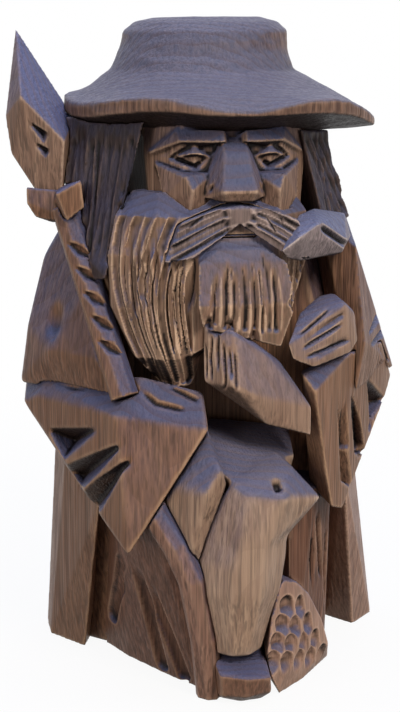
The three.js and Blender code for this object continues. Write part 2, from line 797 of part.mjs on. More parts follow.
const leftSleeve = [
  [24, -57, 123],
  [28, -60, 117],
  [47, -42, 127],
  [68, -15, 125],
  [LEFT_ELBOW, 2, ELBOW_LEVEL - 2],
  [LEFT_ELBOW - 6, 20, ELBOW_LEVEL - 2],
  [56, 35, ELBOW_LEVEL - 1],
  [73, -6, 100],
  [58, -22, 86],
  [50, -36, 74],
  [44, -44, 66],
  [38, -50, 69],
  [34, -34, 74],
  [28, -40, 120],
  [58, 6, 88],
  [53, 28, 92],
];

function leftSleeveCuts(blank) {
  const front = new Carving(blank);
  return [
    ...front.fold([39.8, 112.5], [42.4, 86], [48.5, 81], PLEAT_DEPTH),
    ...front.fold([47.2, 114], [50.5, 92], [57.2, 89], PLEAT_DEPTH),
    ...front.fold([58.5, 113], [61, 98], [70, 102.5], PLEAT_DEPTH),
  ];
}

// Hands

const rightHand = [
  [-13, -HAND_FRONT + 11, HAND_LEVEL + 21],
  [-6, -HAND_FRONT + 12, HAND_LEVEL + 23],
  [-3.5, -HAND_FRONT + 4, HAND_LEVEL + 19],
  [8, -HAND_FRONT + 6, HAND_LEVEL + 11.5],
  [15, -HAND_FRONT + 9, HAND_LEVEL + 6.5],
  [27, -HAND_FRONT + 8, HAND_LEVEL - 11],
  [27, -HAND_FRONT + 8, HAND_LEVEL - 22],
  [9, -HAND_FRONT + 4, HAND_LEVEL - 16],
  [1.5, -HAND_FRONT, HAND_LEVEL - 3],
  [-5, -HAND_FRONT, HAND_LEVEL + 0.5],
  [-13, -HAND_FRONT + 10, HAND_LEVEL],
  [-8, -44, HAND_LEVEL + 19],
  [12, -42, HAND_LEVEL + 8],
  [22, -42, HAND_LEVEL - 12],
  [-9, -44, HAND_LEVEL + 6],
];

function rightHandCuts(blank) {
  const front = new Carving(blank);
  return [
    ...strands(
      front,
      4,
      [[-11.5, HAND_LEVEL + 19], [-4, HAND_LEVEL + 18]],
      [[-11.5, HAND_LEVEL + 3], [-4, HAND_LEVEL + 3]],
      2.2,
      1.8,
    ),
    ...front.chip([[11, HAND_LEVEL + 10], [17, HAND_LEVEL + 9], [18.5, HAND_LEVEL - 2]], 4),
  ];
}

const leftFist = [
  [16, -FIST_FRONT + 1, FIST_LEVEL - 1],
  [22.5, -FIST_FRONT + 11, FIST_LEVEL + 8],
  [33, -FIST_FRONT + 20, FIST_LEVEL + 13],
  [39.5, -FIST_FRONT + 24, FIST_LEVEL + 13],
  [41, -FIST_FRONT + 13, FIST_LEVEL + 11],
  [47, -FIST_FRONT + 20, FIST_LEVEL + 6],
  [48.5, -FIST_FRONT + 20, FIST_LEVEL - 5],
  [44, -FIST_FRONT + 15, FIST_LEVEL - 8.5],
  [27, -FIST_FRONT + 4, FIST_LEVEL - 11],
  [18, -FIST_FRONT + 1, FIST_LEVEL - 7],
  [36, -36, FIST_LEVEL + 7],
  [36, -36, FIST_LEVEL - 9],
];

const leftFistCuts = (blank) =>
  strands(
    new Carving(blank),
    2,
    [[20, FIST_LEVEL - 3], [24, FIST_LEVEL - 7.5]],
    [[44, FIST_LEVEL + 6], [46, FIST_LEVEL]],
    2.6,
    1.8,
  );

// Spear

const spearBlade = [
  SPEARHEAD_TIP,
  [-74.5, -4, 226],
  [-72.2, -15, 222],
  [-77, -6, 214],
  [-75.5, -8, 201],
  [-70, -12, 192],
  [-67, -14, 187],
  [-57.2, -21, 206],
  [-58, -17, 186],
  [-51, -4, 213],
  [-50.5, -5, 202],
  [-71, 6, 222],
  [-60, 8, 203],
  [-65, 2, 186],
];

function spearBladeCuts(blank) {
  const front = new Carving(blank);
  return [
    ...front.chip([[-71, 214], [-62.5, 208.5], [-64, 204.5]], 4),
    ...front.chip([[-68.5, 206], [-62, 202.5], [-63.5, 199]], 3.5),
  ];
}

const collarLobe = [
  [-71, -16, 189],
  [-71, -17, 183],
  [-68, -18, 178],
  [-62, -20, 176],
  [-55, -26, 177],
  [-56, -24, 188],
  [-66, -2, 182],
  [-58, -4, 178],
];

const collarLug = [
  [-62, -32, 188],
  [-53, -34, 193],
  [-52, -34, 183],
  [-58, -32, 178],
  [-58, -8, 188],
  [-52, -8, 184],
  [-60, -12, 180],
];

function shaftCuts(blank) {
  const front = new Carving(blank);
  const axis = (z) => {
    const t = (z - SPEAR_GRIP[2]) / (SPEAR_NECK[2] - SPEAR_GRIP[2]);
    return SPEAR_GRIP[0] + (SPEAR_NECK[0] - SPEAR_GRIP[0]) * t;
  };
  const reach = SHAFT_RADIUS * 0.9;
  return Array.from({ length: WRAP_TURNS }, (_, i) => WRAP_TOP - i * WRAP_PITCH).flatMap((z) =>
    front.leaf([axis(z) - reach, z + WRAP_SLOPE], [axis(z) + reach, z - WRAP_SLOPE], 4.5, 2.6),
  );
}

// Robe over the knees, shoe and rock

const rightKnee = [
  [-10, -47, LAP_LEVEL + 7],
  [-20, -50, LAP_LEVEL + 3],
  [-30, -50, 83],
  [-8, -65, LAP_LEVEL - 6],
  [-5, -63, LAP_LEVEL - 11],
  [-14, -66, KNEE_LEVEL + 6],
  [-20, -61, 57],
  [-14, -60, 54],
  [-10, -60, 62],
  [-16, -40, 52],
  [-34, -36, KNEE_LEVEL + 4],
  [-30, -30, LAP_LEVEL + 3],
  [-6, -36, LAP_LEVEL - 6],
];

const rightKneeCuts = (blank) => new Carving(blank).leaf([-11.5, 80], [-13.5, 61], 3, 3);

const leftLap = [
  [-12, -46, LAP_LEVEL + 4],
  [-10, -60, LAP_LEVEL - 7],
  [-4, -64, LAP_LEVEL - 11],
  [14, -55, LAP_LEVEL - 5],
  [24, -48, LAP_LEVEL - 7],
  [-6, -30, LAP_LEVEL + 5],
  [27, -28, LAP_LEVEL],
  [0, -40, 70],
  [22, -40, 70],
];

const shinLevels = [
  { z: HEM_LEVEL, left: -10.5, right: 8.5, front: -KNEE_FRONT + 3, back: -34, corner: 6 },
  { z: 32, left: -13, right: 12, front: -KNEE_FRONT + 1, back: -34, corner: 8 },
  { z: 44, left: -14.5, right: 15.5, front: -KNEE_FRONT - 1, back: -34, corner: 9 },
  { z: 55, left: -14.5, right: 17.5, front: -KNEE_FRONT - 1, back: -34, corner: 10 },
  { z: 63, left: -12.5, right: 18, front: -KNEE_FRONT - 1, back: -34, corner: 10 },
];

const leftKneecap = [
  ...slab(shinLevels.at(-1), 0),
  [-4, -65, KNEE_LEVEL + 10],
  [1, -69.5, KNEE_LEVEL + 6],
  [15, -54, LAP_LEVEL - 3],
  [19, -60, LAP_LEVEL - 7],
  [15, -70, KNEE_LEVEL + 4],
  [31.5, -58, KNEE_LEVEL],
  [30, -50, KNEE_LEVEL - 4],
  [28, -36, KNEE_LEVEL - 2],
];

const leftKneeBlank = (gap) => stack(shinLevels, gap).add(joined([leftLap, leftKneecap], gap));

const leftKneeCuts = (blank) => new Carving(blank).leaf([11, 87], [12.5, 81], 3.2, 4);

const shoeBlock = [
  [-10, -TOE_FRONT + 6, SHOE_HEIGHT + 1],
  [10, -TOE_FRONT + 4, SHOE_HEIGHT - 1],
  [-9, -TOE_FRONT - 2, SHOE_HEIGHT - 3],
  [1, -TOE_FRONT - 5, SHOE_HEIGHT - 4],
  [10, -TOE_FRONT - 3, SHOE_HEIGHT - 5],
  [-8, -TOE_FRONT, SHOE_HEIGHT / 4],
  [1, -TOE_FRONT - 3, SHOE_HEIGHT / 4],
  [11, -TOE_FRONT, SHOE_HEIGHT / 4],
  [-7, -TOE_FRONT + 8, 0],
  [0, -TOE_FRONT + 3, 0],
  [8, -TOE_FRONT + 4, 0],
  [13, -TOE_FRONT + 10, 0],
  [-10, -36, 0],
  [14, -36, 0],
  [-10, -36, SHOE_HEIGHT + 2],
  [12, -36, SHOE_HEIGHT],
];

const rockBlock = [
  [10, -TOE_FRONT + 2, 18],
  [13, -61, 40],
  [17, -59, 45],
  [23, -56, 43],
  [30, -49, 35],
  [37, -43, 22],
  [41, -39, 10],
  [44, -28, 0],
  [16, -TOE_FRONT + 7, 0],
  [12, -TOE_FRONT + 3, 8],
  [22, -TOE_FRONT + 7, 20],
  [28, -48, 0],
  [18, -30, 40],
  [16, -28, 0],
  [40, -24, 0],
];

function rockCuts(blank) {
  const front = new Carving(blank);
  const [x, z] = SCALLOP_START;
  return Array.from({ length: SCALLOP_ROWS }, (_, row) =>
    Array.from({ length: 2 + row }, (__, column) =>
      front.gouge(
        [
          x - row * SCALLOP_ROW_SHIFT + column * SCALLOP_PITCH,
          z - row * SCALLOP_ROW_DROP - column * SCALLOP_FALL,
        ],
        SCALLOP_RADIUS,
        SCALLOP_DEPTH,
        SCALLOP_LENGTH,
      ),
    ),
  ).flat(2);
}

// Skirt folds and cloak panels

const rightSkirt = [
  [-41, -14, 64],
  [-38, -36, 66],
  [-30, -50, 70],
  [-20, -56, 60],
  [-41, 6, 0],
  [-34, -12, 0],
  [-20, -37, 0],
  [-13, -47, 0],
  [-40, 12, 0],
  [-40, -4, 64],
  [-16, -30, 66],
  [-12, -20, 0],
];

function rightSkirtCuts(blank) {
  const front = new Carving(blank);
  return [
    ...front.leaf([-39, 56], [-36, 6], 5, 4),
    ...front.leaf([-34, 54], [-21, 12], 4, 3),
    ...front.leaf([-29, 30], [-26, 3], 2.4, 1.6),
  ];
}

const leftSkirt = [
  [22, -46, 73],
  [34, -42, 75],
  [42, -35, 75],
  [24, -46, 0],
  [42, -28, 0],
  [48, -10, 0],
  [44, -14, 78],
  [22, -24, 80],
  [22, -20, 0],
  [44, 0, 0],
];

const leftSkirtCuts = (blank) =>
  strands(new Carving(blank), 2, [[33, 66], [40, 66]], [[34, 30], [43, 8]], 4, 3.5);

const rightCloak = [
  [-55, 4, 86],
  [-46, -20, 67],
  [-49.5, 2, 0],
  [-61.5, 19, 0],
  [-61, 34, 0],
  [-57, 26, 82],
  [-44, 0, 62],
  [-45, 14, 0],
  [-46, 30, 0],
];

const leftCloak = [
  [50, -26, 77],
  [56, -9, 40],
  [64, 3, 0],
  [75.5, 14, 0],
  [74, 26, 0],
  [62, 4, 84],
  [63, 24, 84],
  [48, -8, 68],
  [56, 14, 0],
  [52, 26, 0],
];

// The assembly, carriers first

const block = (...list) => (gap) => joined(list, gap);
const dowel = (from, to) => block(rod(from, to, DOWEL_RADIUS, DOWEL_SIDES));
const upright = (x, y, z) => dowel([x, y, z - DOWEL_DEPTH], [x, y, z + DOWEL_DEPTH]);
const shaft = (...points) => block(...bentRod(points, SHAFT_RADIUS, SHAFT_SIDES).map(grounded));

const pieces = [
  { name: "neck_dowel", of: "head", blank: upright(0, 0, NECK_LEVEL), stain: BARE_DOWEL },
  { name: "hat_dowel", of: "hat", blank: upright(0, -4, BRIM_LEVEL - 4), stain: BARE_DOWEL },
  { name: "trunk", of: "robe", blank: trunkBlank, cuts: trunkCuts },
  { name: "head", of: "head", blank: headBlank, cuts: headCuts, adds: eyeBlocks, stain: PALE_STAIN },
  { name: "hat", of: "hat", blank: hatBlank },
  { name: "moustache", of: "head", blank: moustacheBlank, cuts: moustacheCuts },
  { name: "beard", of: "head", blank: beardBlank, cuts: beardCuts },
  { name: "spearhead", of: "spear", blank: block(spearBlade), cuts: spearBladeCuts, stain: PALE_STAIN },
  { name: "spear_collar", of: "spear", blank: block(collarLobe, collarLug) },
  { name: "spear_shaft", of: "spear", blank: shaft(SPEAR_NECK, SPEAR_GRIP), cuts: shaftCuts },
  { name: "right_hair", of: "head", blank: block(rightHair), cuts: rightHairCuts, stain: DARK_STAIN },
  { name: "left_hair", of: "head", blank: block(leftHair), cuts: leftHairCuts, stain: DARK_STAIN },
  { name: "back_hair", of: "head", blank: block(backHair), cuts: backHairCuts, stain: DARK_STAIN },
  { name: "raven", of: "arms", blank: block(ravenBlock), cuts: ravenCuts },
  { name: "right_hand", of: "arms", blank: block(rightHand), cuts: rightHandCuts, stain: PALE_STAIN },
  { name: "left_fist", of: "arms", blank: block(leftFist), cuts: leftFistCuts, stain: PALE_STAIN },
  { name: "right_sleeve", of: "arms", blank: block(rightSleeve), cuts: rightSleeveCuts },
  { name: "left_sleeve", of: "arms", blank: block(leftSleeve), cuts: leftSleeveCuts },
  { name: "right_shoulder", of: "arms", blank: block(rightShoulder), cuts: rightShoulderCuts },
  { name: "left_shoulder", of: "arms", blank: block(leftShoulder), cuts: leftShoulderCuts },
  { name: "spear_butt", of: "spear", blank: shaft(...BUTT_LINE) },
  { name: "left_knee", of: "legs", blank: leftKneeBlank, cuts: leftKneeCuts, stain: PALE_STAIN },
  { name: "right_knee", of: "legs", blank: block(rightKnee), cuts: rightKneeCuts, stain: PALE_STAIN },
  { name: "shoe", of: "legs", blank: block(shoeBlock), stain: DARK_STAIN },
  { name: "rock", of: "legs", blank: block(rockBlock), cuts: rockCuts },
  { name: "right_skirt", of: "robe", blank: block(rightSkirt), cuts: rightSkirtCuts, stain: DARK_STAIN },
  { name: "left_skirt", of: "robe", blank: block(leftSkirt), cuts: leftSkirtCuts, stain: DARK_STAIN },
  { name: "right_cloak", of: "robe", blank: block(rightCloak) },
  { name: "left_cloak", of: "robe", blank: block(leftCloak) },
];

/** The largest body of a cut blank: offcuts fall away. */
function withoutOffcuts(solid) {
  return solid.decompose().reduce((a, b) => (b.volume() > a.volume() ? b : a));
}

/** A sub-assembly of the figure, seated at its own place. */
function seated(name, place) {
  const group = new THREE.Group();
  group.name = name;
  group.position.set(...place);
  return group;
}

const subAssemblies = {
  hat: seated("hat_group", [0, 0, BRIM_LEVEL]),
  head: seated("head_group", [0, 0, NECK_LEVEL]),
  spear: seated("spear_group", SPEAR_GRIP),
  arms: seated("arms_group", [0, 0, ELBOW_LEVEL]),
  legs: seated("legs_group", [0, 0, 0]),
  robe: seated("robe_group", [0, 0, 0]),
};

const figure = new THREE.Group();
figure.name = "figure";
figure.add(...Object.values(subAssemblies));

const carriers = [];
for (const { name, of, blank, cuts = () => [], adds = [], stain = STAIN } of pieces) {
  const whole = blank(0);
  const carved = cuts(whole).reduce((body, tool) => body.subtract(tool), whole);
  const finished = adds.reduce((body, corners) => body.add(facets(corners)), carved);
  const fitted = carriers.reduce((body, carrier) => body.subtract(carrier), finished);
  const material = new THREE.MeshStandardMaterial({ ...WOOD, color: stain });
  const geometry = geometryOf(withoutOffcuts(fitted).simplify(SLIVER));
  geometry.computeBoundingBox();
  const middle = geometry.boundingBox.getCenter(new THREE.Vector3());
  geometry.translate(-middle.x, -middle.y, -middle.z);
  const mesh = new THREE.Mesh(geometry, material);
  mesh.name = name;
  mesh.position.copy(middle).sub(subAssemblies[of].position);
  subAssemblies[of].add(mesh);
  carriers.push(blank(GLUE_GAP));
}

// The origin goes under the middle of the figure's own box
const box = new THREE.Box3().setFromObject(figure);
const centre = box.getCenter(new THREE.Vector3());
figure.position.set(-centre.x, -centre.y, -box.min.z);
const statue = new THREE.Group();
statue.add(figure);

export default statue;
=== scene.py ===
"""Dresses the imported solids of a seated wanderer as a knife-carved, stained and waxed wooden figure.

Sizes in the classes are millimetres in the part's own frame: +Z up, the figure looks along -Y and its
right is -X.
"""

import logging
import math
from collections.abc import Iterator, Mapping, Sequence
from dataclasses import dataclass
from enum import Enum
from typing import Any

import bmesh
import bpy
import numpy as np
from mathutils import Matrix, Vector
from mathutils.bvhtree import BVHTree
from mathutils.kdtree import KDTree


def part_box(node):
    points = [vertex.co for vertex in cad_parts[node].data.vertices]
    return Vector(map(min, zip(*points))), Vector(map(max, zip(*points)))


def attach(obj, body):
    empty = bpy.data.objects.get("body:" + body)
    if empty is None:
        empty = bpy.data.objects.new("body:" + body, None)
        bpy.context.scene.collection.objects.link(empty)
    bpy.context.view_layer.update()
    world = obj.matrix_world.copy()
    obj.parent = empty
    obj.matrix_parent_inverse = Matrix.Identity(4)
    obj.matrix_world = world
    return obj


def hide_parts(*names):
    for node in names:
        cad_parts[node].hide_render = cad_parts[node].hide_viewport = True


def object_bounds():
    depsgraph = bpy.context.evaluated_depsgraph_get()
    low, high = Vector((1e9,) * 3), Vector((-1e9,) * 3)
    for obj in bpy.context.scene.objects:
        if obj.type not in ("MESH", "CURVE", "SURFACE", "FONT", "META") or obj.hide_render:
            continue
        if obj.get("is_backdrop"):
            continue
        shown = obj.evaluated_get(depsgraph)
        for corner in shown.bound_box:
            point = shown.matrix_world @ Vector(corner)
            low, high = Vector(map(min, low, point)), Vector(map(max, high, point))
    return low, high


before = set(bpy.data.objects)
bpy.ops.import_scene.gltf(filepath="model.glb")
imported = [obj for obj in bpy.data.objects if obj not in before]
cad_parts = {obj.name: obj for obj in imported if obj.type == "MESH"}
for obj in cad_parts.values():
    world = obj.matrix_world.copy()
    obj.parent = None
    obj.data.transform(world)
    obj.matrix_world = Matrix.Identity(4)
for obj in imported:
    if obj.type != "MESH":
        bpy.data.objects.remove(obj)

LOG = logging.getLogger("carving")
MM = 0.001
TINY = 1e-6
# Pixels of the photograph's longer side, which the focal length is given for.
IMAGE_HEIGHT = 712

Mark = tuple[float, float]
Row = tuple[Mark, Mark]
Span = tuple[float, float]
Place = tuple[float, float, float]
Colour = tuple[float, float, float, float]
Array = np.ndarray
Tree = bpy.types.NodeTree
Socket = bpy.types.NodeSocket


def linear(colour: str) -> Colour:
    """Turns an sRGB hex colour into the linear colour that a shader takes.

    Args:
        colour: Six hex digits after a hash sign.

    Returns:
        Linear red, green and blue with full alpha.
    """
    channels = [int(colour[i : i + 2], 16) / 255 for i in (1, 3, 5)]
    red, green, blue = (c / 12.92 if c <= 0.04045 else ((c + 0.055) / 1.055) ** 2.4 for c in channels)
    return (red, green, blue, 1.0)


def add_node(
    tree: Tree,
    kind: str,
    inputs: Mapping[str | int, Any] | None = None,
    output: str | int = 0,
    **settings: Any,
) -> Socket | None:
    """Adds one node with its settings and links.

    Args:
        tree: The node tree of a material or of the world.
        kind: Blender's name of the node type.
        inputs: Socket name or number to a constant, or to the output socket that feeds it.
        output: Name or number of the output that feeds other nodes.
        **settings: Properties of the node itself.

    Returns:
        That output, or None for a node that ends the tree.
    """
    node = tree.nodes.new(kind)
    for name, value in settings.items():
        setattr(node, name, value)
    for socket, value in (inputs or {}).items():
        if isinstance(value, Socket):
            tree.links.new(value, node.inputs[socket])
        else:
            node.inputs[socket].default_value = value
    return node.outputs[output] if node.outputs else None


def smooth_step(low: float, high: float, values: Array) -> Array:
    """A soft step from 0 at low to 1 at high."""
    t = np.clip((values - low) / (high - low), 0.0, 1.0)
    return t * t * (3.0 - 2.0 * t)


class Cavity(Enum):
    """Names of the values that a carved mesh carries for its colour: pooled stain with painted shade, and
    rubbed ridges.
    """

    POOLED_STAIN_AND_SHADE = "pooled_stain_and_shade"
    RIDGE = "ridge"


@dataclass(frozen=True)
class Ramp:
    """What one measure of the wood adds to a share: nothing up to low, all of its weight from high on."""

    weight: float
    low: float
    high: float

    def of(self, values: Array) -> Array:
        """The share at each point."""
        return self.weight * smooth_step(self.low, self.high, values)


@dataclass(frozen=True)
class StainedWood:
    """Linden wood, knife-cut, stained dark and waxed.

    The eye gets fine fibres along the trunk, faint growth rings that turn to arcs on sloping faces, cuts
    black with pooled stain and painted shade, rubbed lighter ridges, and a satin wax with a painted cool
    sheen on faces that look up.
    Lengths are millimetres.
    """

    name: str
    slot: str
    fibre: str
    late_wood: str
    # The darkest colour: stain pooled in cuts and pores, and painted shade in hollows and on undersides.
    pooled_stain_and_shade: str
    ridge: str
    # Painted cool sheen on faces that look up, standing for light from above: its colour, how much of it, and
    # between which slopes it comes in.
    painted_cool_sheen: str = "#4a5980"
    painted_cool_sheen_share: float = 0.9
    painted_cool_sheen_slopes: Span = (0.04, 0.42)
    # Thin satin wax: a weak, broad gloss under which the pooled stain and painted shade stay dark.
    roughness: float = 0.46
    fibre_roughness: Span = (0.1, -0.08)
    ior: float = 1.5
    specular: float = 0.11
    wax: float = 0.06
    wax_roughness: float = 0.34
    # A year's growth of linden is 2 to 3 mm wide and wanders about a pith behind the figure.
    ring: float = 2.6
    ring_rise: Span = (0.45, 0.95)
    ring_share: float = 0.32
    ring_lean: float = 0.03
    ring_wander: float = 38.0
    ring_swing: float = 9.0
    ring_octaves: float = 2.0
    pith: Span = (12.0, 46.0)
    # Fibre bundles and pores of linden are under 0.1 mm wide: both are drawn coarser, so that they show.
    fibre_width: float = 0.7
    fibre_length: float = 44.0
    fibre_octaves: float = 3.0
    pore_width: float = 0.4
    pore_length: float = 14.0
    pore_octaves: float = 1.0
    pore_edge: float = 0.4
    # Pores darken this much away from the painted cool sheen, and this much under it.
    pore_shares: Span = (0.55, 0.1)
    streak_edges: Span = (0.37, 0.63)
    streak_roughness: float = 0.6
    streaks_per_width: float = 0.5
    # Patches, longer along the trunk, where the wood took more stain or was rubbed more.
    patch: float = 11.0
    patch_stretch: float = 0.35
    patch_octaves: float = 3.0
    patch_edges: Span = (0.4, 0.75)
    patch_share: float = 0.4
    # Crests are rubbed lighter this much away from the painted cool sheen, and this much under it.
    rub_shares: Span = (1.5, 0.2)
    # Height of the raised grain.
    relief: float = 0.25
    relief_share: float = 0.55

    def material(self) -> bpy.types.Material:
        """Builds the finish, or gives the one that was built before.

        Returns:
            The material.
        """
        known = bpy.data.materials.get(self.name)
        if known:
            return known
        made = bpy.data.materials.new(self.name)
        made.use_nodes = True
        tree = made.node_tree
        tree.nodes.clear()
        place = add_node(tree, "ShaderNodeTexCoord", output="Object")
        fibres = self.streaks(tree, place, self.fibre_width, self.fibre_length, self.fibre_octaves)
        pores = self.streaks(tree, place, self.pore_width, self.pore_length, self.pore_octaves)
        rings = self.rings(tree, place)
        grain = add_node(tree, "ShaderNodeMath", {0: fibres, 1: pores}, operation="ADD")
        height = add_node(tree, "ShaderNodeMath", {0: grain, 1: rings}, operation="SUBTRACT")
        raised = {"Strength": self.relief_share, "Distance": self.relief * MM, "Height": height}
        between, along = (self.roughness + change for change in self.fibre_roughness)
        rough = add_node(tree, "ShaderNodeMapRange", {"Value": fibres, "To Min": between, "To Max": along})
        waxed = {
            "Base Color": self.colour(tree, place, fibres, pores, rings),
            "Roughness": rough,
            "IOR": self.ior,
            "Specular IOR Level": self.specular,
            "Coat Weight": self.wax,
            "Coat Roughness": self.wax_roughness,
            "Normal": add_node(tree, "ShaderNodeBump", raised),
        }
        shader = add_node(tree, "ShaderNodeBsdfPrincipled", waxed)
        add_node(tree, "ShaderNodeOutputMaterial", {"Surface": shader})
        return made

    def streaks(self, tree: Tree, place: Socket, width: float, length: float, octaves: float) -> Socket:
        """Streaks that run up the trunk.

        Args:
            tree: The material's nodes.
            place: The point on the wood, in metres.
            width: How wide a streak is, in mm.
            length: How long a streak is, in mm.
            octaves: Octaves of the noise.

        Returns:
            A value from 0 to 1.
        """
        scale = (1 / (width * MM), 1 / (width * MM), 1 / (length * MM))
        spread = add_node(tree, "ShaderNodeVectorMath", {0: place, 1: scale}, operation="MULTIPLY")
        cells = {"Vector": spread, "Scale": self.streaks_per_width}
        noise = add_node(
            tree, "ShaderNodeTexNoise", {**cells, "Detail": octaves, "Roughness": self.streak_roughness}
        )
        low, high = self.streak_edges
        return add_node(tree, "ShaderNodeMapRange", {"Value": noise, "From Min": low, "From Max": high})

    def rings(self, tree: Tree, place: Socket) -> Socket:
        """Growth rings about an upright pith behind the figure.

        Args:
            tree: The material's nodes.
            place: The point on the wood, in metres.

        Returns:
            A value that rises slowly over each year's growth and drops at its end.
        """
        pith = (self.pith[0] * MM, self.pith[1] * MM, 0.0)
        lean = (1.0, 1.0, self.ring_lean)
        moved = add_node(tree, "ShaderNodeVectorMath", {0: place, 1: pith}, operation="SUBTRACT")
        flat = add_node(tree, "ShaderNodeVectorMath", {0: moved, 1: lean}, operation="MULTIPLY")
        radius = add_node(tree, "ShaderNodeVectorMath", {0: flat}, "Value", operation="LENGTH")
        cells = {"Vector": place, "Scale": 1 / (self.ring_wander * MM), "Detail": self.ring_octaves}
        wander = add_node(tree, "ShaderNodeTexNoise", cells)
        swing = {0: wander, 1: self.ring_swing * MM, 2: radius}
        swung = add_node(tree, "ShaderNodeMath", swing, operation="MULTIPLY_ADD")
        years = add_node(tree, "ShaderNodeMath", {0: swung, 1: 1 / (self.ring * MM)}, operation="MULTIPLY")
        part = add_node(tree, "ShaderNodeMath", {0: years}, operation="FRACT")
        start, end = self.ring_rise
        return add_node(tree, "ShaderNodeMapRange", {"Value": part, "From Min": start, "From Max": end})

    def colour(self, tree: Tree, place: Socket, fibres: Socket, pores: Socket, rings: Socket) -> Socket:
        """Colour of the stain over the grain, with pooled stain and painted shade in the cuts, rubbed ridges,
        and a painted cool sheen on faces that look up.

        Args:
            tree: The material's nodes.
            place: The point on the wood, in metres.
            fibres: Broad streaks.
            pores: Fine streaks.
            rings: Growth rings.

        Returns:
            The colour.
        """
        stretch = (1.0, 1.0, self.patch_stretch)
        long = add_node(tree, "ShaderNodeVectorMath", {0: place, 1: stretch}, operation="MULTIPLY")
        cells = {"Vector": long, "Scale": 1 / (self.patch * MM), "Detail": self.patch_octaves}
        patch = add_node(tree, "ShaderNodeTexNoise", cells)
        pooled_stain_and_shade, ridge = (
            add_node(tree, "ShaderNodeAttribute", output="Fac", attribute_name=name.value) for name in Cavity
        )
        normal = add_node(tree, "ShaderNodeNewGeometry", output="Normal")
        up = add_node(tree, "ShaderNodeSeparateXYZ", {0: normal}, "Z")
        # Painted cool sheen on faces that look up, standing for light from above; under it crests are rubbed
        # less and pores darken less.
        ranges = (
            (up, self.painted_cool_sheen_slopes, self.painted_cool_sheen_share),
            (patch, self.patch_edges, self.patch_share),
        )
        cool_sheen_mask, tinted = (
            add_node(
                tree,
                "ShaderNodeMapRange",
                {"Value": value, "From Min": low, "From Max": high, "To Max": share},
            )
            for value, (low, high), share in ranges
        )
        kept, most = (
            add_node(tree, "ShaderNodeMapRange", {"Value": cool_sheen_mask, "To Min": off_sheen, "To Max": under_sheen})
            for off_sheen, under_sheen in (self.rub_shares, self.pore_shares)
        )
        worn = add_node(tree, "ShaderNodeMath", {0: ridge, 1: patch}, operation="MULTIPLY")
        rubbed = add_node(tree, "ShaderNodeMath", {0: worn, 1: kept}, operation="MULTIPLY", use_clamp=True)
        ringed = add_node(tree, "ShaderNodeMath", {0: rings, 1: self.ring_share}, operation="MULTIPLY")
        pits = {"Value": pores, "From Min": self.pore_edge, "From Max": 0.0, "To Max": most}
        pored = add_node(tree, "ShaderNodeMapRange", pits)
        layers = (
            (fibres, self.fibre),
            (tinted, self.late_wood),
            (cool_sheen_mask, self.painted_cool_sheen),
            (ringed, self.late_wood),
            (pored, self.pooled_stain_and_shade),
            (rubbed, self.ridge),
            (pooled_stain_and_shade, self.pooled_stain_and_shade),
        )
        colour: Any = linear(self.late_wood)
        for share, tone in layers:
            laid = {0: share, 6: colour, 7: linear(tone)}
            colour = add_node(tree, "ShaderNodeMix", laid, 2, data_type="RGBA")
        return colour


# Brown oil stain wiped over knife-cut linden: mid-brown streaks, and cuts black with pooled stain and painted
# shade.
STAIN = StainedWood("stained_linden", "stained_wood", "#977057", "#563a2e", "#0d0809", "#c6a486")
# The same stain on the hat, with a strong painted blue-grey sheen on its broad level top that stands for cool
# light from above, and brown only on upright edges.
HAT_STAIN = StainedWood(
    "painted_sheen_hat_linden", "stained_wood", "#8a6c5a", "#503a33", "#0b0708", "#b79c8a", "#545c72", painted_cool_sheen_share=0.8
)
# Stain and painted shade left dark between combed strands, and stain rubbed off their crests: light lines on
# dark wood.
BEARD_STAIN = StainedWood("combed_linden", "stained_wood", "#7a5848", "#3e2a22", "#090506", "#f0d0b2")
# A cooler, duller copy of the stain for the moustache, which in part stands for the cool light on it: painted
# light.
GREYED_STAIN = StainedWood("greyed_linden", "stained_wood", "#75625d", "#3f3232", "#090607", "#cfbcb4")
# An ash-pale copy of the stain with a blue cast and a bluer painted cool sheen: on the bird's head the pale
# blue stands in part for cool light, which is painted light.
ASHEN_STAIN = StainedWood(
    "ashen_linden", "stained_wood", "#9f9092", "#665a60", "#0b0809", "#d9cdc9", painted_cool_sheen="#63719a"
)
# A warmer and lighter copy of the stain with pale crests, for pieces turned to the light: partly rubbed wood,
# partly painted light.
RUBBED_AND_LIT_STAIN = StainedWood("rubbed_and_lit_linden", "stained_wood", "#ab8572", "#65483e", "#0d0809", "#dfbda5")
# A second coat of stain in the folds: a deep brown with little grain.
DARK_STAIN = StainedWood(
    "dark_stained_linden", "dark_stained_wood", "#8b6451", "#52372d", "#0c0708", "#b08f78"
)
# A near-black brown for the hair, darker than the rest, with less of the painted cool sheen.
HAIR_STAIN = StainedWood(
    "blackened_linden", "dark_stained_wood", "#3d302f", "#241c1e", "#080506", "#6a5a55", painted_cool_sheen_share=0.4
)
# Stain wiped thin and handled: a tan with clear grain.
SHADED_STAIN = StainedWood("handled_linden", "pale_stained_wood", "#a0826e", "#684e42", "#0b0708", "#d6baa2")
# The palest copy of the stain, with its grain in full view, for the knees' large rounded faces: lighter in
# part to stand for the light on them, which is painted light.
PALE_STAIN = StainedWood(
    "pale_stained_linden", "pale_stained_wood", "#b5987f", "#7b5f4e", "#0f0a0a", "#e6ceb8"
)
# Bare beech, turned: an even honey colour with none of the painted cool sheen.
DOWEL = StainedWood(
    "turned_beech_dowel", "dowel_wood", "#c19a68", "#a57f52", "#3a2a1e", "#d0ac7b", painted_cool_sheen_share=0.0
)


class CutShape(Enum):
    """How a tool's cut looks across its line."""

    VEE = "vee"
    GOUGE = "gouge"


class Facing(Enum):
    """The side that a cut is drawn on: the look direction, then the two axes of its marks."""

    FRONT = ((0, 1, 0), 0, 2)
    BACK = ((0, -1, 0), 0, 2)
    RIGHT = ((1, 0, 0), 1, 2)
    LEFT = ((-1, 0, 0), 1, 2)


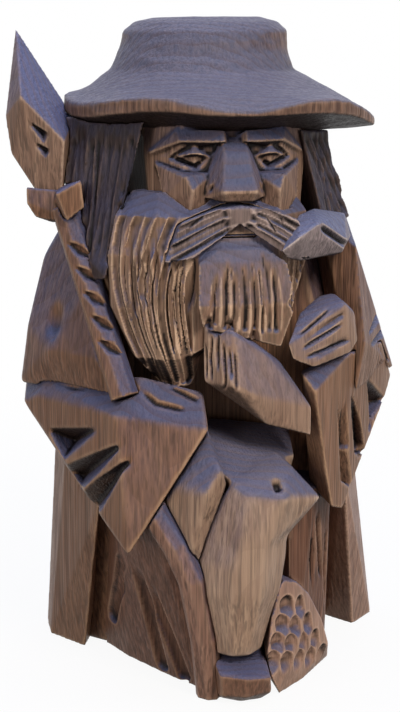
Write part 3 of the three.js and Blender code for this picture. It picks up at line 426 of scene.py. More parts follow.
@dataclass(frozen=True)
class Cut:
    """One pass of a knife or gouge along a line of pencil marks."""

    path: tuple[Mark, ...]
    width: float
    depth: float
    shape: CutShape = CutShape.VEE
    facing: Facing = Facing.FRONT
    fade_in: float = 0.3
    fade_out: float = 0.3

    # The marks are looked at from this far off, and laid on the wood this share of the width apart.
    EYE_DISTANCE = 400.0
    STEP_SHARE = 0.4
    LEAST_STEP = 0.8
    # How much of the wood's ups and downs a cut follows without getting narrower.
    OVERLOOKED = 0.75

    def line(self, wood: BVHTree) -> tuple[Array, Array] | None:
        """Lays the marks on the wood.

        Args:
            wood: The surface, in mm.

        Returns:
            Points along the cut and the wood's mean outward direction, or None where the marks miss.
        """
        look, first, second = self.facing.value
        step = max(self.width * self.STEP_SHARE, self.LEAST_STEP)
        points, outward = [], Vector((0, 0, 0))
        for (u0, v0), (u1, v1) in zip(self.path, self.path[1:]):
            parts = max(int(math.hypot(u1 - u0, v1 - v0) / step), 1)
            for i in range(parts + 1):
                eye = Vector(look) * -self.EYE_DISTANCE
                eye[first] = u0 + (u1 - u0) * i / parts
                eye[second] = v0 + (v1 - v0) * i / parts
                place, normal, _, _ = wood.ray_cast(eye, Vector(look))
                if place is not None:
                    points.append(place)
                    outward += normal
        if len(points) < 2 or outward.length < TINY:
            return None
        return np.array(points), np.array(outward.normalized())

    def sink(self, points: Array, line: Array, outward: Array) -> Array:
        """How deep the cut takes each point.

        Args:
            points: Points of the wood near the cut, in mm.
            line: Points along the cut.
            outward: The wood's outward direction at the cut.

        Returns:
            Depths in mm.
        """
        start, end = line[:-1], line[1:]
        along = end - start
        length = np.linalg.norm(along, axis=1)
        keep = length > TINY
        start, along, length = start[keep], along[keep], length[keep]
        if not len(length):
            return np.zeros(len(points))
        run = np.concatenate([[0.0], np.cumsum(length)])
        offset = points[:, None, :] - start[None]
        share = np.clip(np.einsum("nsk,sk->ns", offset, along) / length**2, 0.0, 1.0)
        gap = offset - share[..., None] * along[None]
        gap -= np.einsum("nsk,k->ns", gap, outward)[..., None] * outward * self.OVERLOOKED
        distance = np.linalg.norm(gap, axis=2)
        nearest = distance.argmin(axis=1)
        rows = np.arange(len(points))
        t = (run[nearest] + share[rows, nearest] * length[nearest]) / run[-1]
        reach = distance[rows, nearest] / (self.width / 2)
        profile = np.clip(1.0 - reach, 0.0, None)
        if self.shape is CutShape.GOUGE:
            profile = np.sqrt(np.clip(1.0 - reach**2, 0.0, None))
        fade = np.ones(len(points))
        if self.fade_in > 0:
            fade *= smooth_step(0.0, self.fade_in, t)
        if self.fade_out > 0:
            fade *= smooth_step(0.0, self.fade_out, 1.0 - t)
        return self.depth * profile * fade


@dataclass(frozen=True)
class Strands:
    """A lock of hair: cuts between a row of marks at the root, one at the waist and one at the tip."""

    root: Row
    tip: Row
    count: int
    width: float
    depth: float
    seed: int
    waist: Row | None = None
    shape: CutShape = CutShape.VEE
    facing: Facing = Facing.FRONT
    late_start: float = 0.1
    early_end: float = 0.12
    fade_in: float = 0.12
    fade_out: float = 0.2

    # Where in its share of the row a cut lies, how its width and depth vary, and how many marks it has.
    PLACES = (0.25, 0.75)
    WIDTHS = (0.8, 1.25)
    DEPTHS = (0.65, 1.2)
    MARKS = 9

    def __iter__(self) -> Iterator[Cut]:
        """Gives the lock's cuts, each a little different.

        Returns:
            The cuts, one after the other along the row.
        """
        chance = np.random.default_rng(self.seed)
        root, tip = np.array(self.root), np.array(self.tip)
        waist = np.array(self.waist) if self.waist else (root + tip) / 2
        for i in range(self.count):
            u = (i + chance.uniform(*self.PLACES)) / self.count
            first = chance.uniform(0.0, self.late_start)
            last = 1.0 - chance.uniform(0.0, self.early_end)
            start, middle, end = (row[0] + (row[1] - row[0]) * u for row in (root, waist, tip))
            marks = []
            for t in np.linspace(first, last, self.MARKS):
                spot = start * (1 - t) * (1 - 2 * t) + middle * 4 * t * (1 - t) + end * t * (2 * t - 1)
                marks.append(tuple(spot))
            yield Cut(
                tuple(marks),
                self.width * chance.uniform(*self.WIDTHS),
                self.depth * chance.uniform(*self.DEPTHS),
                self.shape,
                self.facing,
                self.fade_in,
                self.fade_out,
            )


@dataclass(frozen=True)
class ToolMarks:
    """Shallow hollows that a flat gouge leaves side by side, in rows along its way of working."""

    across: float = 6.0
    along: float = 16.0
    depth: float = 0.22
    seed: int = 3
    level: bool = False

    # Height that counts as level, and a distance past every hollow.
    MIDDLE = 0.35
    BEYOND = 9.0
    # Large primes that scatter the hollows' centres.
    CELL_PRIMES = (73856093, 19349663, 83492791)
    SEED_PRIME = 2654435
    AXIS_PRIMES = (7919, 104729, 1299709)
    CHANCES = 10007

    def relief(self, points: Array) -> Array:
        """Height of the tooled surface at each point.

        Args:
            points: Points of the wood, in mm.

        Returns:
            Heights in mm, low in the hollows and high on the ridges between them.
        """
        side, height = (self.along, self.across) if self.level else (self.across, self.along)
        scaled = points / np.array([side, side, height])
        cell = np.floor(scaled).astype(np.int64)
        nearest = np.full(len(points), self.BEYOND)
        for shift in np.ndindex(3, 3, 3):
            other = cell + np.array(shift) - 1
            centre = other + self.jitter(other)
            nearest = np.minimum(nearest, ((scaled - centre) ** 2).sum(axis=1))
        return self.depth * (np.clip(nearest, 0.0, 1.0) - self.MIDDLE)

    def jitter(self, cell: Array) -> Array:
        """A fixed chance place inside each cell.

        Args:
            cell: Whole numbers of the cells along x, y and z.

        Returns:
            Three shares from 0 to 1 for each cell.
        """
        x, y, z = (cell * np.array(self.CELL_PRIMES)).T
        mixed = x ^ y ^ z ^ (self.seed * self.SEED_PRIME)
        return np.stack([((mixed * k) % self.CHANCES) / self.CHANCES for k in self.AXIS_PRIMES], axis=1)


class Filling:
    """The space that some solids fill, on a grid of small cells, so that it can be blurred and read."""

    # Side of a cell in mm, filters in a blur, and what counts as a facet seen edge on.
    CELL = 1.0
    FILTERS = 3
    LEAST_AREA = 1e-9

    def __init__(self, solids: Sequence[bpy.types.Object], low: Array, high: Array) -> None:
        """Fills the grid.

        Args:
            solids: CAD nodes.
            low: Lowest corner of the grid, in mm.
            high: Highest corner of the grid, in mm.
        """
        self.origin = low
        steps = np.zeros(np.ceil((high - low) / self.CELL).astype(int), np.float32)
        for solid in solids:
            self.fill(steps, solid.data)
        self.grid = np.clip(np.cumsum(steps, axis=1), 0.0, 1.0)

    def fill(self, steps: Array, mesh: bpy.types.Mesh) -> None:
        """Marks where lines along Y enter and leave one solid.

        Args:
            steps: The grid of steps, changed in place.
            mesh: The solid's triangles, in metres.
        """
        mesh.calc_loop_triangles()
        corners = np.zeros(len(mesh.vertices) * 3, np.float32)
        mesh.vertices.foreach_get("co", corners)
        index = np.zeros(len(mesh.loop_triangles) * 3, np.int32)
        mesh.loop_triangles.foreach_get("vertices", index)
        triangles = (corners.reshape(-1, 3) / MM - self.origin)[index].reshape(-1, 3, 3) / self.CELL
        for a, b, c in triangles.astype(float):
            area = (b[0] - a[0]) * (c[2] - a[2]) - (c[0] - a[0]) * (b[2] - a[2])
            if abs(area) < self.LEAST_AREA:
                continue
            low = np.floor(np.minimum(np.minimum(a, b), c)).astype(int)
            high = np.ceil(np.maximum(np.maximum(a, b), c)).astype(int) + 1
            columns, rows = (np.arange(low[axis], high[axis]) + 0.5 for axis in (0, 2))
            x, z = np.meshgrid(columns, rows, indexing="ij")
            v = ((x - a[0]) * (c[2] - a[2]) - (c[0] - a[0]) * (z - a[2])) / area
            w = ((b[0] - a[0]) * (z - a[2]) - (x - a[0]) * (b[2] - a[2])) / area
            inside = (v >= 0) & (w >= 0) & (v + w < 1)
            if not inside.any():
                continue
            y = (a[1] + v * (b[1] - a[1]) + w * (c[1] - a[1]))[inside] - 0.5
            i, k = x[inside].astype(int), z[inside].astype(int)
            j = np.floor(y).astype(int)
            part = y - j
            sign = -1.0 if area > 0 else 1.0
            np.add.at(steps, (i, j, k), sign * (1 - part))
            np.add.at(steps, (i, j + 1, k), sign * part)

    def blurred(self, radius: float) -> Array:
        """The filling blurred by a few box filters.

        Args:
            radius: Spread in mm.

        Returns:
            The blurred grid.
        """
        half = max(int(round(radius / self.CELL)), 1)
        result = self.grid
        for _ in range(self.FILTERS):
            for axis in range(3):
                total = np.cumsum(result, axis=axis, dtype=np.float64)
                padded = np.concatenate([np.zeros_like(total.take([0], axis)), total], axis=axis)
                size = result.shape[axis]
                upper = np.clip(np.arange(size) + half + 1, 0, size)
                lower = np.clip(np.arange(size) - half, 0, size)
                inside = padded.take(upper, axis) - padded.take(lower, axis)
                result = (inside / (2 * half + 1)).astype(np.float32)
        return result

    def sample(self, grid: Array, points: Array) -> Array:
        """Values of a grid between its cells.

        Args:
            grid: The filling or a blurred one.
            points: Places in mm.

        Returns:
            One value for each place.
        """
        spot = (points - self.origin) / self.CELL - 0.5
        base = np.clip(np.floor(spot).astype(int), 0, np.array(grid.shape) - 2)
        part = np.clip(spot - base, 0.0, 1.0)
        total = np.zeros(len(points))
        for corner in np.ndindex(2, 2, 2):
            weight = np.prod(np.where(np.array(corner), part, 1 - part), axis=1)
            i, j, k = (base + np.array(corner)).T
            total += weight * grid[i, j, k]
        return total


class Occlusion:
    """How deep each place lies among all the solids of the frame."""

    # Margin round the solids, radii of the two blurs and lift off the wood, in mm.
    MARGIN = 14.0
    NEAR = 2.4
    FAR = 7.5
    LIFT = 2.0
    # The lines look out over every second cell, in these strides, and half a cell of wood shuts them off.
    COARSE = 2
    GAIN = 2.0
    STRIDES = (2, 3, 5, 7, 10, 14)

    def __init__(self) -> None:
        """Fills the space of all the solids, blurs it narrowly and widely, and looks out along 14 lines."""
        low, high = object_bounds()
        solids = list(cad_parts.values())
        corners = (np.array(low) / MM - self.MARGIN, np.array(high) / MM + self.MARGIN)
        self.space = Filling(solids, *corners)
        self.near_grid = self.space.blurred(self.NEAR)
        self.far_grid = self.space.blurred(self.FAR)
        signs = np.array(list(np.ndindex(3, 3, 3))) - 1
        steps = np.abs(signs).sum(axis=1)
        ways = signs[(steps == 1) | (steps == 3)]
        self.ways = ways / np.linalg.norm(ways, axis=1)[:, None]
        every = slice(None, None, self.COARSE)
        coarse = np.clip(self.near_grid[every, every, every] * self.GAIN, 0.0, 1.0)
        self.blocked = np.stack([self.look_out(coarse, way) for way in self.ways], axis=-1)

    def look_out(self, wood: Array, way: Array) -> Array:
        """How much wood a line meets from each cell of a coarse grid.

        Args:
            wood: Share of wood in each cell.
            way: Direction of the line.

        Returns:
            The largest share met along the line, at most 28 mm out.
        """
        met = np.zeros_like(wood)
        for stride in self.STRIDES:
            shift = -np.rint(way * stride).astype(int)
            met = np.maximum(met, np.roll(wood, tuple(shift), axis=(0, 1, 2)))
        return met

    def shelter(self, points: Array, normals: Array) -> tuple[Array, Array]:
        """How far each place is shut in, and how far it is covered from above.

        Args:
            points: Places in mm.
            normals: The wood's outward directions there.

        Returns:
            The shut-off share of what the wood faces, and of the sky.
        """
        lifted = points + normals * self.LIFT - self.space.origin
        spot = np.floor(lifted / (Filling.CELL * self.COARSE)).astype(int)
        i, j, k = np.clip(spot, 0, np.array(self.blocked.shape[:3]) - 1).T
        met = self.blocked[i, j, k]
        weight = np.clip(normals @ self.ways.T, 0.0, None)
        upward = np.clip(self.ways[:, 2], 0.0, None)
        return (met * weight).sum(axis=1) / weight.sum(axis=1), met @ (upward / upward.sum())

    def near(self, points: Array) -> Array:
        """The share of wood close round each place."""
        return self.space.sample(self.near_grid, points)

    def far(self, points: Array) -> Array:
        """The share of wood in the wider surroundings of each place."""
        return self.space.sample(self.far_grid, points)

    def neighbours(self, node: str, points: Array) -> Array:
        """The share of other pieces' wood close round each place on one piece.

        Args:
            node: The piece's own solid.
            points: Places in mm.

        Returns:
            One share for each place.
        """
        low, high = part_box(node)
        origin = self.space.origin
        start = np.floor((np.array(low) / MM - self.MARGIN - origin) / Filling.CELL) * Filling.CELL
        own = Filling([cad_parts[node]], origin + start, np.array(high) / MM + self.MARGIN)
        return self.near(points) - own.sample(own.blurred(self.NEAR), points)


class Surface:
    """The points and edges of a fine mesh as arrays, in mm."""

    # How far a point moves to its neighbours' mean: in and out again for sanding, in for wear.
    SANDING = (0.55, -0.57)
    WEAR = 0.5
    SPREAD = 0.6
    OUTWARD_PASSES = 12

    def __init__(self, mesh: bpy.types.Mesh) -> None:
        """Reads the mesh.

        Args:
            mesh: The fine mesh, in metres.
        """
        self.mesh = mesh
        self.points = np.zeros(len(mesh.vertices) * 3, np.float32)
        mesh.vertices.foreach_get("co", self.points)
        self.points = self.points.reshape(-1, 3).astype(float) / MM
        edges = np.zeros(len(mesh.edges) * 2, np.int32)
        mesh.edges.foreach_get("vertices", edges)
        self.first, self.second = edges.reshape(-1, 2).T
        count = len(self.points)
        self.degree = np.bincount(self.first, minlength=count) + np.bincount(self.second, minlength=count)
        self.degree = np.maximum(self.degree, 1)

    def mean(self, values: Array) -> Array:
        """The mean of the neighbours' values at each point.

        Args:
            values: Rows of values, one for each point.

        Returns:
            One row for each point.
        """
        count = len(self.points)
        columns = []
        for column in values.T:
            total = np.bincount(self.first, column[self.second], count)
            total += np.bincount(self.second, column[self.first], count)
            columns.append(total / self.degree)
        return np.stack(columns, axis=1)

    def sand(self, passes: int, share: Array | float = 1.0) -> None:
        """Rounds small steps and edges and keeps the bulk.

        Args:
            passes: How often the wood is gone over.
            share: How much each point takes part.
        """
        weight = np.broadcast_to(np.asarray(share, float), (len(self.points),))[:, None]
        for _ in range(passes):
            for strength in self.SANDING:
                self.points = self.points + (self.mean(self.points) - self.points) * strength * weight

    def soften(self, passes: int) -> None:
        """Wears edges round, and takes a little off them.

        Args:
            passes: How far the wear goes.
        """
        for _ in range(passes):
            self.points = self.points + (self.mean(self.points) - self.points) * self.WEAR

    def fill(self, passes: int) -> None:
        """Closes narrow hollows from their rims and leaves the ridges.

        Args:
            passes: How far the filling goes.
        """
        outward = self.normals()
        for _ in range(self.OUTWARD_PASSES):
            outward = self.mean(outward)
        for _ in range(passes):
            move = self.mean(self.points) - self.points
            rising = np.einsum("nk,nk->n", move, outward) > 0
            self.points = self.points + move * rising[:, None]
        self.write()

    def write(self) -> None:
        """Puts the points back into the mesh."""
        self.mesh.vertices.foreach_set("co", (self.points * MM).astype(np.float32).ravel())
        self.mesh.update()

    def normals(self) -> Array:
        """Outward directions at the points as they were last written.

        Returns:
            One direction for each point.
        """
        values = np.zeros(len(self.points) * 3, np.float32)
        self.mesh.vertex_normals.foreach_get("vector", values)
        return values.reshape(-1, 3).astype(float)

    def bowls(self, passes: int, normals: Array) -> Array:
        """How far each point lies below the mean of its surroundings, in mm.

        Args:
            passes: How wide the surroundings are.
            normals: Outward directions.

        Returns:
            Positive depths in hollows, negative ones on ridges.
        """
        spread = self.points
        for _ in range(passes):
            spread = spread + (self.mean(spread) - spread) * self.SPREAD
        return np.einsum("nk,nk->n", spread - self.points, normals)


@dataclass
class Blank:
    """One carved piece that stands for a solid of the frame.

    The voxel is in mm and the edge angle in degrees. Sanding, rounding, filling and softening are numbers
    of passes. The pooled stain with its painted shade, and the ridges' rubbing, are multiples of what the
    shape alone gives.
    """

    node: str
    finish: StainedWood
    cuts: Sequence[Cut] = ()
    marks: ToolMarks | None = None
    voxel: float = 0.7
    sanding: int = 3
    stain_and_shade_pool: float = 1.0
    ridge_gain: float = 0.45
    rounding: int = 0
    edge_angle: float = 40.0
    filling: int = 0
    softening: int = 0
    hulled: bool = False

    WELD = 2e-6
    QUICK_VOXEL = 1.8
    # Rounding starts this far from a crisp edge, and is full at the second distance.
    EDGE_REACH = (0.6, 3.0)
    # A cut takes points this far past its sides that face about as the wood does there.
    CUT_MARGIN = 0.5
    LEAST_FACING = 0.05
    # How wide the surroundings of fine and broad hollows are, and how far off the wood they are felt.
    FINE_PASSES = 4
    BROAD_PASSES = 22
    NEAR_LIFT = 1.0
    FAR_LIFT = 2.0
    # What darkens the colour, and the most of it: stain pooled in the cuts, and painted shade in hollows, at
    # seams, under overhangs and on undersides.
    STAIN_AND_SHADE_POOLS = {
        "broad": Ramp(0.7, 0.05, 0.5),
        "fine": Ramp(0.5, 0.03, 0.16),
        "near": Ramp(0.7, 0.42, 0.75),
        "far": Ramp(0.5, 0.46, 0.7),
        "seam": Ramp(0.6, 0.05, 0.28),
        "shut": Ramp(0.95, 0.33, 0.8),
        "covered": Ramp(0.45, 0.25, 0.9),
        "underside": Ramp(0.9, 0.3, 0.8),
    }
    MOST_POOLED = 0.97
    # What gets rubbed: crests, swellings and what stands out, but not at a seam or deep inside.
    CRESTS = Ramp(1.3, 0.03, 0.16)
    SWELLINGS = Ramp(0.5, 0.08, 0.5)
    SURROUNDED = Ramp(0.4, 0.18, 0.36)
    AT_SEAM = Ramp(1.0, 0.02, 0.1)
    DEEP_INSIDE = Ramp(1.0, 0.5, 0.7)

    def build(self, occlusion: Occlusion) -> bpy.types.Object:
        """Carves the piece, gives it its finish and puts it in the frame.

        Args:
            occlusion: How deep places lie among all the solids.

        Returns:
            The piece.
        """
        piece = self.remeshed()
        surface = Surface(piece.data)
        if self.filling:
            surface.fill(self.filling)
        if self.rounding:
            surface.sand(self.rounding, self.between_edges(surface.points))
        surface.sand(self.sanding)
        surface.soften(self.softening)
        surface.write()
        if self.marks:
            surface.points += surface.normals() * self.marks.relief(surface.points)[:, None]
            surface.write()
        self.carve(piece, surface)
        self.stain(surface, occlusion)
        piece.data.materials.clear()
        piece.data.materials.append(self.finish.material())
        piece.data.shade_smooth()
        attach(piece, "root")
        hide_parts(self.node)
        self.finish.slot
        return piece

    def welded(self) -> bmesh.types.BMesh:
        """Reads the solid and joins the corners that its facets share.

        Returns:
            The solid, for the caller to free.
        """
        solid = bmesh.new()
        solid.from_mesh(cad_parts[self.node].data)
        bmesh.ops.remove_doubles(solid, verts=solid.verts, dist=self.WELD)
        return solid

    def remeshed(self) -> bpy.types.Object:
        """Copies the solid as an even fine mesh.

        Returns:
            The new object.
        """
        mesh = bpy.data.meshes.new(f"carved_{self.node}")
        welded = self.welded()
        if self.hulled:
            corners = [corner.co.copy() for corner in welded.verts]
            welded.clear()
            bmesh.ops.convex_hull(welded, input=[welded.verts.new(corner) for corner in corners])
        welded.to_mesh(mesh)
        welded.free()
        piece = bpy.data.objects.new(f"carved_{self.node}", mesh)
        bpy.context.scene.collection.objects.link(piece)
        remesh = piece.modifiers.new("fine", "REMESH")
        remesh.mode = "VOXEL"
        remesh.voxel_size = self.voxel * MM * 1.0
        depsgraph = bpy.context.evaluated_depsgraph_get()
        fine = bpy.data.meshes.new_from_object(piece.evaluated_get(depsgraph))
        piece.modifiers.clear()
        piece.data = fine
        bpy.data.meshes.remove(mesh)
        fine.name = f"carved_{self.node}"
        self.drop_chips(fine)
        return piece

    def drop_chips(self, mesh: bpy.types.Mesh) -> None:
        """Keeps the largest shell of the mesh and drops the chips that break off at feather edges.

        Args:
            mesh: The fine mesh, changed in place.
        """
        wood = bmesh.new()
        wood.from_mesh(mesh)
        left = set(wood.verts)
        shells: list[list[bmesh.types.BMVert]] = []
        while left:
            shell = [left.pop()]
            for corner in shell:
                for edge in corner.link_edges:
                    other = edge.other_vert(corner)
                    if other in left:
                        left.remove(other)
                        shell.append(other)
            shells.append(shell)
        shells.sort(key=len)
        chips = [corner for shell in shells[:-1] for corner in shell]
        if chips:
            bmesh.ops.delete(wood, geom=chips, context="VERTS")
            wood.to_mesh(mesh)
        wood.free()

    def between_edges(self, points: Array) -> Array:
        """How much each point lies away from the solid's crisp edges.

        Args:
            points: Points of the fine mesh, in mm.

        Returns:
            0 at an edge to 1 well away from all edges.
        """
        solid = self.welded()
        spots: list[Vector] = []
        for edge in solid.edges:
            if edge.is_manifold and edge.calc_face_angle() > math.radians(self.edge_angle):
                start, end = (corner.co / MM for corner in edge.verts)
                steps = max(int((end - start).length), 1)
                spots.extend(start.lerp(end, i / steps) for i in range(steps + 1))
        solid.free()
        if not spots:
            return np.ones(len(points))
        tree = KDTree(len(spots))
        for i, spot in enumerate(spots):
            tree.insert(spot, i)
        tree.balance()
        distance = np.array([tree.find(point)[2] for point in points])
        return smooth_step(*self.EDGE_REACH, distance)

    def carve(self, piece: bpy.types.Object, surface: Surface) -> None:
        """Makes the piece's knife cuts.

        Args:
            piece: The piece.
            surface: Its points.
        """
        if not self.cuts:
            return
        corners = [Vector(p) for p in surface.points]
        faces = [tuple(polygon.vertices) for polygon in piece.data.polygons]
        wood = BVHTree.FromPolygons(corners, faces)
        normals = surface.normals()
        deepest = np.zeros(len(surface.points))
        offset = np.zeros_like(surface.points)
        for cut in self.cuts:
            laid = cut.line(wood)
            if laid is None:
                LOG.debug("%s: a cut misses the wood", self.node)
                continue
            line, outward = laid
            reach = cut.width / 2 + self.CUT_MARGIN
            low, high = line.min(0) - reach, line.max(0) + reach
            near = np.all((surface.points > low) & (surface.points < high), axis=1)
            near &= normals @ outward > self.LEAST_FACING
            index = np.nonzero(near)[0]
            if not len(index):
                continue
            sunk = cut.sink(surface.points[index], line, outward)
            deeper = sunk > deepest[index]
            chosen = index[deeper]
            deepest[chosen] = sunk[deeper]
            offset[chosen] = -outward * sunk[deeper][:, None]
        surface.points += offset
        surface.sand(1)
        surface.write()

    def stain(self, surface: Surface, occlusion: Occlusion) -> None:
        """Works out where pooled stain and painted shade darken the wood, and where the ridges are rubbed.

        Args:
            surface: The piece's points.
            occlusion: How deep places lie among all the solids.
        """
        points, normals = surface.points, surface.normals()
        shut, covered = occlusion.shelter(points, normals)
        felt = {
            "broad": surface.bowls(self.BROAD_PASSES, normals),
            "fine": surface.bowls(self.FINE_PASSES, normals),
            "near": occlusion.near(points + normals * self.NEAR_LIFT),
            "far": occlusion.far(points + normals * self.FAR_LIFT),
            "seam": occlusion.neighbours(self.node, points),
            "shut": shut,
            "covered": covered,
            "underside": -normals[:, 2],
        }
        pooled_stain_and_shade = sum(ramp.of(felt[name]) for name, ramp in self.STAIN_AND_SHADE_POOLS.items())
        pooled_stain_and_shade = np.clip(pooled_stain_and_shade * self.stain_and_shade_pool, 0.0, self.MOST_POOLED)
        ridge = self.CRESTS.of(-felt["fine"]) + self.SWELLINGS.of(-felt["broad"])
        ridge += self.SURROUNDED.weight - self.SURROUNDED.of(felt["far"])
        ridge = np.clip(ridge * self.ridge_gain, 0.0, 1.0)
        ridge *= (1.0 - self.AT_SEAM.of(felt["seam"])) * (1.0 - self.DEEP_INSIDE.of(felt["far"]))
        for name, values in ((Cavity.POOLED_STAIN_AND_SHADE, pooled_stain_and_shade), (Cavity.RIDGE, ridge)):
            layer = surface.mesh.attributes.new(name.value, "FLOAT", "POINT")
            layer.data.foreach_set("value", values.astype(np.float32))


class SubAssembly:
    """Carved pieces that belong together. The sizes of their cuts are widths and depths."""

    def blanks(self) -> list[Blank]:
        """The pieces, each with its cuts and finish."""
        raise NotImplementedError

    def build(self, occlusion: Occlusion) -> list[bpy.types.Object]:
        """Builds and dresses the pieces.

        Args:
            occlusion: How deep places lie among all the solids.

        Returns:
            The pieces.
        """
        return [blank.build(occlusion) for blank in self.blanks()]


@dataclass
class Hat(SubAssembly):
    """The broad hat and the dowel that holds it."""

    marks: ToolMarks = ToolMarks(across=6.0, along=28.0, depth=0.8, seed=5, level=True)

    def blanks(self) -> list[Blank]:
        """The hat with level gouge marks, and its dowel.

        Returns:
            Two blanks.
        """
        return [
            Blank("hat", HAT_STAIN, marks=self.marks, sanding=4, rounding=80, edge_angle=75, ridge_gain=0.25),
            Blank("hat_dowel", DOWEL, voxel=0.8),
        ]


@dataclass
class Head(SubAssembly):
    """Head, moustache, beard and hair."""

    strand_size: Span = (3.0, 1.2)
    lock_size: Span = (3.4, 1.7)
    groove_size: Span = (2.0, 2.4)
    line_size: Span = (1.2, 0.6)
    parting_size: Span = (4.5, 3.2)
    sweep_size: Span = (2.55, 1.36)
    nick_size: Span = (2.0, 1.8)
    tuck_size: Span = (5.5, 1.5)
    line_seed: int = 50

    def beard_cuts(self) -> list[Cut]:
        """The long hank, the lock beside the chin, the chin beard and the strands behind it.

        Returns:
            The beard's cuts.
        """
        hank = ((-40.0, 184.0), (-21.0, 184.0)), ((-31.0, 121.0), (-22.0, 120.0))
        hank_waist = ((-43.5, 155.0), (-31.0, 153.0))
        second = ((-20.0, 178.0), (-16.0, 168.0)), ((-23.0, 121.0), (-15.0, 121.0))
        second_waist = ((-30.0, 152.0), (-20.5, 152.0))
        chin = ((-11.0, 169.0), (12.5, 169.0)), ((-13.0, 142.0), (15.0, 137.5))
        chin_waist = ((-12.5, 154.0), (14.5, 152.0))
        behind = ((18.0, 172.0), (28.0, 172.0))
        lock, groove, line = self.lock_size, self.groove_size, self.line_size
        whole = {"shape": CutShape.GOUGE, "late_start": 0.0, "early_end": 0.0, "fade_out": 0.0}
        parting = ((-17.0, 169.0), (-18.0, 153.0), (-18.5, 146.0))
        return [
            *Strands(*hank, 5, *lock, 11, hank_waist, **whole),
            *Strands(*hank, 6, *groove, 17, hank_waist, late_start=0.3, early_end=0.2, fade_in=0.3),
            *Strands(*hank, 10, *line, 16, hank_waist),
            *Strands(*second, 3, *lock, 18, second_waist, **whole),
            *Strands(*second, 4, *groove, 19, second_waist, late_start=0.3, early_end=0.2),
            *Strands(*second, 6, *line, 12, second_waist),
            *Strands(
                *chin, 7, *lock, 13, chin_waist, late_start=0.25, early_end=0.05, fade_in=0.35, fade_out=0.1
            ),
            *Strands(*chin, 5, *groove, 20, chin_waist, late_start=0.6, early_end=0.1, fade_in=0.5),
            *Strands(*chin, 12, *line, 15, chin_waist, late_start=0.4),
            Cut(parting, *self.parting_size, fade_out=0.4),
            *self.lock(behind, ((17.0, 136.0), (26.0, 138.0)), 4, 14, Facing.FRONT),
            *Strands(behind, ((18.0, 134.0), (28.0, 136.0)), 5, *groove, 25),
        ]

    def moustache_cuts(self) -> list[Cut]:
        """Strands that sweep out from under the nose on both sides and run off its ends.

        Returns:
            The moustache's cuts.
        """
        right = ((0.5, 178.0), (-5.0, 186.5)), ((-29.0, 162.0), (-32.0, 175.0))
        left = ((-0.5, 178.0), (5.0, 186.5)), ((24.0, 162.0), (30.0, 174.0))
        right_waist = ((-13.0, 171.0), (-18.5, 183.0))
        left_waist = ((11.0, 171.0), (17.0, 183.0))
        lock, line = self.sweep_size, self.line_size
        gouge = CutShape.GOUGE
        sweep = {"shape": gouge, "late_start": 0.15, "early_end": 0.0, "fade_out": 0.0}
        nicks = (
            ((6.8, 184.0), (13.7, 173.5)),
            ((11.8, 184.5), (17.0, 176.0)),
            ((-12.5, 183.0), (-20.5, 177.0)),
        )
        tuck = ((22.5, 167.5), (26.0, 166.4))
        return [
            *Strands(*right, 6, *lock, 21, right_waist, **sweep),
            *Strands(*right, 8, *line, 23, right_waist, early_end=0.3),
            *Strands(*left, 6, *lock, 22, left_waist, **sweep),
            *Strands(*left, 8, *line, 24, left_waist, early_end=0.3),
            *(Cut(nick, *self.nick_size) for nick in nicks),
            Cut(tuck, *self.tuck_size, gouge, fade_in=0.0, fade_out=0.0),
        ]

    def lock(self, root: Row, tip: Row, count: int, seed: int, facing: Facing) -> list[Cut]:
        """Broad hollows side by side with finer lines over them.

        Args:
            root: First and last mark of the row at the root.
            tip: First and last mark of the row at the tip.
            count: How many hollows.
            seed: Seed of their small differences.
            facing: The side that they are drawn on.

        Returns:
            The cuts.
        """
        hollow, line = self.strand_size, self.line_size
        return [
            *Strands(root, tip, count, *hollow, seed, shape=CutShape.GOUGE, facing=facing, early_end=0.05),
            *Strands(root, tip, count * 2, *line, seed + self.line_seed, facing=facing),
        ]

    def hair_cuts(self) -> dict[str, list[Cut]]:
        """Long strands of the side and back hair.

        Returns:
            The cuts of each hair piece by its node.
        """
        front, back = Facing.FRONT, Facing.BACK
        return {
            "right_hair": [
                *self.lock(((-54, 212), (-33, 212)), ((-57, 164), (-45, 158)), 8, 31, front),
                *self.lock(((-30, 212), (20, 212)), ((-34, 166), (18, 164)), 15, 32, Facing.RIGHT),
            ],
            "left_hair": [
                *self.lock(((33, 212), (42, 212)), ((38, 174), (48, 174)), 4, 33, front),
                *self.lock(((-28, 212), (22, 212)), ((-24, 174), (22, 174)), 15, 34, Facing.LEFT),
            ],
            "back_hair": [
                *self.lock(((-33, 212), (35, 212)), ((-36, 150), (37, 150)), 22, 35, back),
                *self.lock(((-24, 176), (26, 176)), ((-22, 144), (24, 144)), 14, 36, back),
            ],
        }

    def blanks(self) -> list[Blank]:
        """The head and what grows on it.

        Returns:
            Seven blanks.
        """
        # The pool numbers scale each piece's pooled stain and painted shade; the head and the hair under the
        # brim get the most.
        whiskers = {"rounding": 120, "edge_angle": 170, "filling": 150, "ridge_gain": 0.8, "stain_and_shade_pool": 1.2}
        combed = {"sanding": 12, "filling": 60, "ridge_gain": 0.7, "stain_and_shade_pool": 1.25}
        hung = {"sanding": 8, "filling": 40, "stain_and_shade_pool": 1.3}
        return [
            Blank("head", SHADED_STAIN, sanding=4, voxel=0.6, ridge_gain=0.4, stain_and_shade_pool=1.4),
            Blank("neck_dowel", DOWEL, voxel=0.8),
            Blank("moustache", GREYED_STAIN, self.moustache_cuts(), voxel=0.5, **whiskers),
            Blank("beard", BEARD_STAIN, self.beard_cuts(), voxel=0.45, **combed),
            *(Blank(node, HAIR_STAIN, cuts, voxel=0.6, **hung) for node, cuts in self.hair_cuts().items()),
        ]


